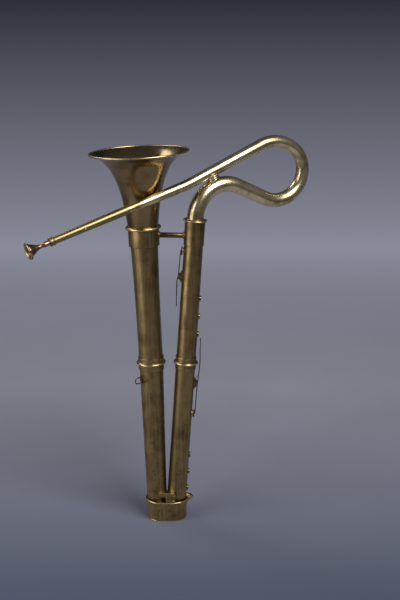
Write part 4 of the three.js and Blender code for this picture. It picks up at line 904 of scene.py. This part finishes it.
# Keys. Each is a forged brass lever in a saddle, held shut by a flat spring over a leather pad.
# The thumb's key lies between the limbs, the fingers' key outside the narrow limb, cup downwards.
SEAT_HEIGHT = 1.6
SEAT_WALL = 1.5
PAD = 1.9
CUP = 0.9
CUP_CROWN = 0.8
LEVER = 2.2
LEVER_WIDTH = 6.4
BARREL = 2.3
SADDLE_LENGTH = 25
SADDLE_FOOT = 1.4
SADDLE_SUNK = 4
CHEEK = 1.7
CROWN_SHARE = 0.45
PIN = 1.1
PIN_HEAD = 1.9
SPRING = 0.6
SPRING_WIDTH = 4
# Hand-forged brass levers, browned and thin-edged: dark, with a line of light along the crown.
lever_brass = brass("forged lever brass", "5c4b30", "2b2217", "1a130b", 0.26, cloud_mm=16,
                    tarnished=0.55, spotted=0.4, streaked=0.3, wavy_mm=0.03)
# Spring steel, blued by heat and dulled: nearly black, with a cold sheen. It clouds as brass does.
blued_steel = brass("blued spring steel", "565b68", "30323a", "2c211c", 0.32, cloud_mm=8,
                    spotted=0.3, streaked=0.3, wavy_mm=0.01)


def through_points(points, per_span=8):
    """A smooth line through points, as a bent strip takes it."""
    ends = [points[0]] + list(points) + [points[-1]]
    line = []
    for four in zip(ends, ends[1:], ends[2:], ends[3:]):
        for i in range(per_span):
            t = i / per_span
            line.append(tuple(
                0.5 * (2 * q + (r - p) * t + (2 * p - 5 * q + 4 * r - s) * t * t
                       + (3 * q - p - 3 * r + s) * t ** 3)
                for p, q, r, s in zip(*four)
            ))
    return line + [tuple(points[-1])]


def strip(name, sections, place):
    """A flat bar through sections (along, height, width, thickness): extruded and resized."""
    along, height, width, thick = sections[0]
    piece = start(bpy.ops.mesh.primitive_plane_add, name, size=1)
    edit_all()
    bpy.ops.transform.resize(value=(thick * MM, width * MM, 1))
    bpy.ops.transform.translate(value=(height * MM, 0, along * MM))
    for old, new in zip(sections, sections[1:]):
        extrude(x=new[1] - old[1], z=new[0] - old[0])
        bpy.ops.transform.resize(value=(new[3] / old[3], new[2] / old[2], 1),
                                 center_override=(new[1] * MM, 0, new[0] * MM))
    closed(piece)
    piece.data.transform(place)
    return piece


# Sheepskin key pad: matt and cream, creased, greyer where it has taken up tarnish from its seat.
pad_skin, tree, place = new_material("sheepskin pad leather")
dirt = add_node(tree, "TexNoise", {"Scale": 1 / (4 * MM), "Detail": 4, "Vector": place})[0]
grey = add_node(tree, "MapRange", {"From Min": 0.35, "From Max": 0.68, "Value": dirt})[0]
tone = add_node(tree, "Mix", {
    "data_type": "RGBA", 0: grey, 6: linear("c4b08c"), 7: linear("7d6c50"),
})[2]
grain = add_node(tree, "TexVoronoi", {"Scale": 1 / (0.7 * MM), "Vector": place})[0]
creases = add_node(tree, "Bump", {"Strength": 0.5, "Distance": 0.1 * MM, "Height": grain})[0]
skin = add_node(tree, "BsdfPrincipled", {
    "Roughness": 0.85, "Sheen Weight": 0.2, "Base Color": tone, "Normal": creases,
})[0]
add_node(tree, "OutputMaterial", {"Surface": skin})


def mix(a, b, share):
    return a + (b - a) * share


def make_key(name, limb, level, turn, surface, upside_down, cup_at, touch_at, cup, tone_hole,
             pin_height, cheek_height, lever_height, bow_height, bow_at, touch_height,
             touch_width, touch_length, spring_reach):
    """Makes a key's seat, pad, lever, saddle, pin and spring; X is outwards, Z to the cup."""
    place = set_in(limb, z=level, turn=turn)
    if upside_down:
        place = place @ Matrix.Rotation(pi, 4, "X")
    cup_place = set_in(place, z=cup_at) @ SIDEWAYS
    seat_top = surface + SEAT_HEIGHT
    outer = tone_hole + SEAT_WALL
    seat = turned(f"{name}_ring", [
        (tone_hole, surface - outer), (outer, surface - outer), (outer, seat_top - 0.4),
        (outer - 0.4, seat_top), (tone_hole + 0.3, seat_top), (tone_hole, seat_top - 0.3),
    ], cup_place, 64)
    combine(seat, [core_at(surface, place, cup_at, CORE_HALF)], "DIFFERENCE")
    fasten(seat, rubbed_brass, "horn_body", "bright_brass", f"{name}_seat")
    pad_floor = seat_top + FIT
    pad_top = pad_floor + PAD
    pad_radius = cup - CUP - FIT
    pad = turned(f"{name}_skin", [
        (0, pad_floor + 0.25), (tone_hole - 0.8, pad_floor + 0.2), (tone_hole, pad_floor + 0.35),
        (outer, pad_floor + 0.3), (outer + 0.5, pad_floor), (pad_radius - 0.6, pad_floor + 0.1),
        (pad_radius, pad_floor + 0.6), (pad_radius, pad_top), (0, pad_top),
    ], cup_place, 64)
    fasten(pad, pad_skin, name, "pad_leather", f"{name}_pad")
    cup_floor = pad_top + FIT
    cup_rim = pad_floor + PAD / 2
    cup_back = cup_floor + CUP
    cup_top = cup_back + CUP_CROWN
    stack = cup_back + LEVER / 2 - surface
    shell = turned(f"{name}_cup", [
        (0, cup_floor), (cup - CUP, cup_floor), (cup - CUP, cup_rim), (cup - 0.15, cup_rim),
        (cup, cup_rim + 0.15), (cup, cup_floor), (cup - 0.35, cup_floor + 0.5),
        (cup - 0.9, cup_back - 0.1), (cup - 2, cup_back + 0.2), (cup * 0.55, cup_top - 0.2),
        (cup * 0.25, cup_top - 0.02), (0, cup_top),
    ], cup_place, 72)
    touch_start = touch_at - touch_length
    line = through_points([
        (cup_at, stack), (cup_at - cup / 2, stack),
        (cup_at - cup - CUP, mix(stack, lever_height, 0.3)),
        (SADDLE_LENGTH / 2, mix(stack, lever_height, 0.6)), (0, lever_height),
        (-bow_at, bow_height), (-touch_start, touch_height),
        (-(touch_at - touch_length / 2), touch_height), (-touch_at, touch_height - LEVER / 2),
    ])
    sections = []
    for along, height in line:
        into = (-along - touch_start) / touch_length
        swell = sin(pi * min(1, into * 0.9)) if into > 0 else 0
        waist = 1 - 0.22 * sin(pi * min(1, max(0, -along / touch_start))) ** 2
        sections.append((along, surface + height, mix(LEVER_WIDTH * waist, touch_width, swell),
                         LEVER * mix(1, 0.75, swell)))
    lever = soften(strip(f"{name}_arm", sections, place), 0.55, 3, 50)
    pin_line = set_in(place, x=surface + pin_height) @ Matrix.Rotation(pi / 2, 4, "X")
    half = LEVER_WIDTH / 2
    barrel = turned("barrel", mirrored([(BARREL, half - 0.3), (BARREL - 0.3, half), (0, half)]),
                    pin_line, 48)
    combine(lever, [shell, barrel], "UNION")
    combine(lever, [rod("bore", PIN + 0.1, -9, 9, pin_line, 32)], "DIFFERENCE")
    fasten(lever, lever_brass, name, "bright_brass", f"{name}_lever")
    inside = half + FIT
    outside = inside + CHEEK
    crown = SADDLE_LENGTH * CROWN_SHARE / 2
    end = SADDLE_LENGTH / 2
    cheeks = block(f"{name}_cheeks", (surface - SADDLE_SUNK, -outside, -end),
                   (surface + SADDLE_FOOT, outside, end))
    bpy.ops.object.mode_set(mode="EDIT")
    pick(cheeks, "FACE", lambda face: face.normal.x > 0.9)
    # Each step draws the tops of the cheeks in, from the foot's whole length to a rounded crown.
    for rise, reach in ((2.4, crown + 3.2), (cheek_height - 1.8, crown + 0.6),
                        (cheek_height, crown - 1.4)):
        extrude(x=0.1)
        bpy.ops.object.mode_set(mode="OBJECT")
        for vertex in cheeks.data.vertices:
            if vertex.select:
                vertex.co.x = (surface + rise) * MM
                vertex.co.z = reach * MM * (1 if vertex.co.z > 0 else -1)
        bpy.ops.object.mode_set(mode="EDIT")
    soften(closed(cheeks), 0.6, 3, 25)
    cheeks.data.transform(place)
    channel = block("channel", (surface + SADDLE_FOOT, -inside, -SADDLE_LENGTH),
                    (surface + 40, inside, SADDLE_LENGTH))
    channel.data.transform(place)
    combine(cheeks, [channel, core_at(surface, limb, level, 45),
                     rod("bore", PIN + 0.1, -20, 20, pin_line, 32)], "DIFFERENCE")
    fasten(cheeks, browned_brass, "horn_body", "dull_brass", f"{name}_saddle")
    under = outside + FIT
    pin = turned(f"{name}_axle", mirrored([
        (PIN, under), (PIN_HEAD, under), (PIN_HEAD, under + 0.2), (PIN_HEAD - 0.15, under + 0.5),
        (PIN_HEAD - 0.6, under + 0.75), (0, under + 0.8),
    ]), pin_line, 36)
    fasten(pin, dark_brass, "horn_body", "dark_brass", f"{name}_pin")
    nearest = min(line, key=lambda spot: abs(spot[0] + spring_reach))
    foot = surface + SADDLE_FOOT + FIT + SPRING / 2
    tip = surface + nearest[1] - LEVER / 2 - FIT - SPRING / 2
    spring = strip(f"{name}_leaf", [
        (mix(-SADDLE_LENGTH / 4, -spring_reach, share), mix(foot, tip, share ** 1.6),
         SPRING_WIDTH, SPRING)
        for share in steps_between(0, 1, 16)
    ], place)
    fasten(spring, blued_steel, "horn_body", "spring_steel", f"{name}_spring")


make_key("thumb_key", narrow_upper, THUMB_KEY_LEVEL, 180, narrow_upper_radius(THUMB_KEY_LEVEL),
         False, cup_at=THUMB_CUP_AT, touch_at=69, cup=10.4, tone_hole=THUMB_TONE_HOLE,
         pin_height=6, cheek_height=8.4, lever_height=8.4, bow_height=10.6, bow_at=13,
         touch_height=8.9, touch_width=9, touch_length=26, spring_reach=24)
make_key("finger_key", narrow_lower, FINGER_KEY_LEVEL, 0,
         mix(NARROW_FOOT, NARROW_MIDDLE, FINGER_KEY_LEVEL / NARROW_LOWER_LENGTH), True,
         cup_at=FINGER_CUP_AT, touch_at=108, cup=9.2, tone_hole=FINGER_TONE_HOLE,
         pin_height=5.2, cheek_height=7.5, lever_height=7.6, bow_height=10, bow_at=47,
         touch_height=8.2, touch_width=11, touch_length=24, spring_reach=19)

# Crook: one long tapering tube of sheet brass, filled with pitch, bent by hand and polished.
# Its tenon turns in the socket, so that the mouthpiece can be brought to the player's lips.
CROOK_BASE = 18.6
CROOK_TIP = 7.7
CROOK_TENON_LENGTH = 30
CROOK_TURN = 28.5
EASE_BEND = 162
EASE_TURN = -5.6
MOUTH_RUN = 324
CROOK_MOVES = [
    ("run", 28, 0), ("run", 3.4, 0), ("run", 0.6, 0), ("run", 0.6, 0), ("run", 3.7, 0),
    ("bend", 73.3, -111.2), ("run", 83.2, 0), ("bend", 73.7, 42.8), ("bend", 63.9, 120.1),
    ("bend", 90, 64), ("run", 188.5, 0), ("bend", EASE_BEND, EASE_TURN), ("run", MOUTH_RUN, 0),
]
SHOULDER_AT = 31.5
SHOULDER_END = 32.1
SHOULDER = 0.5
crook_place = set_in(socket, turn=CROOK_TURN)
crook_stops = [(x, z - CROOK_TENON_LENGTH, way, travelled)
               for x, z, way, travelled in route(90, CROOK_MOVES)]
crook_length = crook_stops[-1][3]


def crook_radius(travelled):
    taper_length = crook_length - CROOK_TENON_LENGTH
    return mix(CROOK_BASE, CROOK_TIP, (travelled - CROOK_TENON_LENGTH) / taper_length)


def crook_surface(travelled):
    """The tube's radius, with the tenon and the small shoulder above it."""
    if travelled < SHOULDER_AT:
        return CROOK_TENON
    if travelled < SHOULDER_END:
        return CROOK_TENON - SHOULDER
    return crook_radius(travelled)


crook_pipe = swept("crook_pipe", crook_stops, crook_surface, 72, crook_place)
# Brass tube that is still wiped and polished: yellow, with sharp lights and faint brown clouds.
# Towards the mouthpiece, from 20 mm to -110 mm along X, a painted shade darkens the tube where the
# key light falls off.
polished_tube = brass("polished brass tube", "dccb9f", "8a7950", "3f3220", 0.23, cloud_mm=45,
                      tarnished=0.45, spotted=0.2, streaked=0, wavy_mm=0.02, grain_mm=0,
                      painted_shade_span=(-110, 20))
fasten(crook_pipe, polished_tube, "crook", "bright_brass", "crook_tube")


def crook_frame(travelled):
    """A frame on the crook's middle line, Z along the tube."""
    for (x0, z0, way0, t0), (x1, z1, way1, t1) in zip(crook_stops, crook_stops[1:]):
        if t0 <= travelled <= t1:
            share = (travelled - t0) / (t1 - t0)
            return set_in(crook_place, x=mix(x0, x1, share), z=mix(z0, z1, share),
                          lean=90 - degrees(mix(way0, way1, share)))


# Stay: a short turned brass post with three mouldings.
# It is soldered between the crook's long run and its first bend, where they cross.
STAY = 12.6
STAY_TOP = 3
STAY_FOOT = 26
STAY_FOOT_RADIUS = 15
STAY_FROM_EASE = 53
MOULDINGS = 3
MOULDING_STAND = 1.5
SOLDER = 0.03
ease_start = crook_length - MOUTH_RUN - EASE_BEND * radians(abs(EASE_TURN))
stay_place = crook_frame(ease_start - STAY_FROM_EASE) @ Matrix.Rotation(-pi / 2, 4, "Y")
moulding = (STAY_FOOT - STAY_TOP) / (MOULDINGS + 2)
stay_outline = [(0, STAY_TOP), (STAY, STAY_TOP)]
for i in range(1, MOULDINGS + 1):
    stay_outline += [(STAY + MOULDING_STAND * max(0, cos(a)) ** 0.7,
                      STAY_TOP + moulding * i + moulding * 0.38 * sin(a))
                     for a in steps_between(-pi / 2, pi / 2, 10)]
stay_outline += [(STAY + 0.1, STAY_FOOT - 6), (STAY + 0.5, STAY_FOOT - 3),
                 (STAY_FOOT_RADIUS, STAY_FOOT), (0, STAY_FOOT)]
stay_post = turned("stay_post", stay_outline, stay_place, 96)
combine(stay_post, [
    swept("core", crook_stops, lambda t: crook_surface(t) + SOLDER, 72, crook_place),
], "DIFFERENCE")
fasten(stay_post, polished_tube, "crook", "bright_brass", "crook_stay")

# Stud: a round-headed brass stud near the crook's tip, turned and soldered on.
# It is for a cord that keeps the mouthpiece from falling.
STUD = 1.8
STUD_FROM_TIP = 78
stud_place = crook_frame(crook_length - STUD_FROM_TIP) @ Matrix.Rotation(pi / 2, 4, "X")
stud_face = crook_radius(crook_length - STUD_FROM_TIP)
stud_pin = turned("stud_pin", [
    (0, stud_face - 0.6), (STUD * 0.8, stud_face - 0.6), (STUD * 0.8, stud_face + 0.4),
    (STUD, stud_face + 0.7), (STUD, stud_face + STUD * 0.9), (STUD * 0.8, stud_face + STUD * 1.3),
    (STUD * 0.4, stud_face + STUD * 1.55), (0, stud_face + STUD * 1.6),
], stud_place, 40)
fasten(stud_pin, rubbed_brass, "crook", "bright_brass", "crook_stud")

# Receiver: a brass ferrule with two turned beads, soldered over the crook's tip.
# It is bored for the mouthpiece's shank.
RECEIVER_LENGTH = 10
RECEIVER_WALL = 0.8
RECEIVER_LIP = 1.6
RECEIVER_BEAD = 1.5
RECEIVER_BORE = CROOK_TIP + FIT
RECEIVER_FACE = RECEIVER_LIP + FIT
RECEIVER_BACK = RECEIVER_FACE - RECEIVER_LENGTH
SHANK = 5.6
tip_place = crook_frame(crook_length)
receiver_outline = [(RECEIVER_BORE, RECEIVER_BACK)]
for centre in (RECEIVER_BACK + RECEIVER_BEAD, RECEIVER_FACE - RECEIVER_BEAD):
    receiver_outline += [(RECEIVER_BORE + RECEIVER_WALL + 0.8 * RECEIVER_BEAD * cos(a),
                          centre + RECEIVER_BEAD * sin(a))
                         for a in steps_between(-pi / 2, pi / 2, 12)]
receiver_outline += [(SHANK + FIT, RECEIVER_FACE), (SHANK + FIT, FIT), (RECEIVER_BORE, FIT)]
receiver_ring = turned("receiver_ring", receiver_outline, tip_place, 72)
fasten(receiver_ring, polished_tube, "crook", "bright_brass", "mouthpiece_receiver")

# Mouthpiece: turned from a brass casting, with a baluster stem, a deep cup and a broad flat rim.
# Its shank fits the receiver; the rim is worn smooth and pale by the lips.
REACH = 50
RIM = 19
SHANK_DEPTH = 20
SHANK_BORE = 3.4
THROAT = 2.6
RUBBED_RIM = 0.985
mouthpiece_place = set_in(tip_place, z=RECEIVER_FACE + FIT)
stem = through_points([(0.29, 0.17), (0.315, 0.2), (0.31, 0.23), (0.25, 0.28), (0.21, 0.4),
                       (0.27, 0.5), (0.45, 0.66), (0.75, 0.86)], 6)
edge = through_points([(0.85, 0.9), (0.97, 0.91), (1, 0.945), (0.985, 0.975), (0.94, 1),
                       (0.88, 0.998), (0.83, 0.985)], 5)
bowl = through_points([(0.83, 0.985), (0.78, 0.955), (0.69, 0.88), (0.49, 0.72), (0.26, 0.58),
                       (0.16, 0.52)], 6)
mouthpiece_outline = [(SHANK_BORE, -SHANK_DEPTH), (SHANK * 0.86, -SHANK_DEPTH), (SHANK, 0)]
mouthpiece_outline += [(out * RIM, along * REACH) for out, along in stem + edge[:-1] + bowl]
mouthpiece_outline += [(THROAT, REACH * 0.46), (THROAT, REACH * 0.3)]
mouthpiece_cup = turned("mouthpiece_cup", mouthpiece_outline, mouthpiece_place, 120)
# Copper-rich casting, brown from the hand on its stem and pale where the lips rest.
cast_cup = brass("cast mouthpiece brass", "a68c6a", "57442f", "2c1d12", 0.24, cloud_mm=12,
                 tarnished=0.55, spotted=0.2, streaked=0, wavy_mm=0.01, grain_mm=0)
fasten(mouthpiece_cup, cast_cup, "mouthpiece", "bright_brass", "mouthpiece", sharp=28,
       worn=lambda out, up: up > RUBBED_RIM * REACH, place=mouthpiece_place)

# Floor and backdrop: one wide sheet of pale matt paper, unrolled over the table.
# It curves up behind the horn, so that no edge shows between floor and wall.
PAPER_HALF_WIDTH = 1500
PAPER_FRONT = -4000
PAPER_BEND = 2900
PAPER_COVE = 900
PAPER_TOP = 4200
profile = [(PAPER_FRONT, 0), (PAPER_BEND, 0)]
profile += [(PAPER_BEND + PAPER_COVE * sin(a), PAPER_COVE - PAPER_COVE * cos(a))
            for a in steps_between(0, pi / 2, 24)[1:]]
profile += [(PAPER_BEND + PAPER_COVE, PAPER_TOP)]
paper = point("paper_backdrop", -PAPER_HALF_WIDTH, PAPER_FRONT, 0)
for (y0, z0), (y1, z1) in zip(profile, profile[1:]):
    extrude(y=y1 - y0, z=z1 - z0)
bpy.ops.mesh.select_all(action="SELECT")
extrude(x=2 * PAPER_HALF_WIDTH)
closed(paper)
only(paper)
bpy.ops.object.shade_smooth()
# Matt background paper, blue-grey: no shine, a hardly visible fibre. For the eye it is painted with
# a shade that darkens it towards the front. Far behind the horn, where no lamp reaches, eye and
# metal see it glow pale, with a painted shade that darkens it above.
background_paper, tree, place = new_material("matt background paper")
fibre = add_node(tree, "TexNoise", {"Scale": 1 / (260 * MM), "Detail": 3, "Vector": place})[0]
pale = add_node(tree, "Mix", {
    "data_type": "RGBA", 0: fibre, 6: linear("91919b"), 7: linear("9b9ba5"),
})[2]
_, behind, above = add_node(tree, "SeparateXYZ", {0: place})
# Painted shade: to the eye, the floor darkens towards the front.
front_shade_share = add_node(tree, "MapRange", {"From Min": 0.9, "From Max": -0.35, "Value": behind})[0]
rays = add_node(tree, "LightPath", {})
painted_front_shade = add_node(tree, "Math", {"operation": "MULTIPLY", 0: rays["Is Camera Ray"], 1: front_shade_share})[0]
tone = add_node(tree, "Mix", {"data_type": "RGBA", 0: painted_front_shade, 6: pale, 7: linear("4e5463")})[2]
lit = add_node(tree, "BsdfPrincipled", {
    "Roughness": 0.95, "Specular IOR Level": 0.1, "Base Color": tone,
})[0]
seen = add_node(tree, "Math", {
    "operation": "MAXIMUM", 0: rays["Is Camera Ray"], 1: rays["Is Glossy Ray"],
})[0]
far = add_node(tree, "MapRange", {"From Min": 0.7, "From Max": 2.9, "Value": behind})[0]
share = add_node(tree, "Math", {"operation": "MULTIPLY", 0: seen, 1: far})[0]
# Painted shade: the far wall darkens upwards to a dark blue-grey.
rise = add_node(tree, "MapRange", {"From Max": 1.25, "Value": above})[0]
painted_dusk = add_node(tree, "Math", {"operation": "POWER", 0: rise, 1: 0.67})[0]
wall = add_node(tree, "Mix", {
    "data_type": "RGBA", 0: painted_dusk, 6: linear("898b9a"), 7: linear("2a2b34"),
})[2]
even = add_node(tree, "Emission", {"Strength": 1, "Color": wall})[0]
sheet = add_node(tree, "MixShader", {0: share, 1: lit, 2: even})[0]
add_node(tree, "OutputMaterial", {"Surface": sheet})
paper.data.materials.append(background_paper)

# Studio light: a tall soft box to the left, a higher one to the right of the camera, and a soft
# lamp behind, in a dim grey room.
for name, spot, size, power, aim in (
    ("soft_box_left", (-1.8, -1.0, 1.0), (1.6, 1.9), 32, (0.0, 0, 0.45)),
    ("soft_box_right", (1.15, -1.25, 2.3), (1.6, 1.6), 64, (0.05, 0, 0.75)),
    ("soft_lamp_behind", (-1.35, 1.1, 2.3), (0.9, 0.9), 11, (-0.05, 0, 0.87)),
):
    bpy.ops.object.light_add(type="AREA", location=spot)
    lamp = bpy.context.object
    lamp.name = name
    lamp.data.shape = "RECTANGLE"
    lamp.data.size, lamp.data.size_y = size
    lamp.data.energy = power
    lamp.data.color = (0.97, 0.97, 1)
    lamp.rotation_euler = (Vector(aim) - Vector(spot)).to_track_quat("-Z", "Y").to_euler()

world = bpy.data.worlds.new("studio room")
bpy.context.scene.world = world
world.use_nodes = True
tree = world.node_tree
tree.nodes.clear()
room = add_node(tree, "Background", {"Color": linear("aeb2bf"), "Strength": 0.25})[0]
add_node(tree, "OutputWorld", {"Surface": room})
bpy.context.scene.view_settings.view_transform = "Standard"

# Camera: at the photograph's place, a little above the bell and looking slightly down.
# Its height, distance and tilt come from the floor and the horn's real size.
CAMERA_PLACE = (0.07818, -2.27307, 1.1581)
CAMERA_TILT = 15.4
bpy.ops.object.camera_add(location=CAMERA_PLACE, rotation=(radians(90 - CAMERA_TILT), 0, 0))
camera = bpy.context.object
camera.data.lens = 63
camera.data.sensor_width = 36
camera.data.clip_end = 50
bpy.context.scene.camera = camera
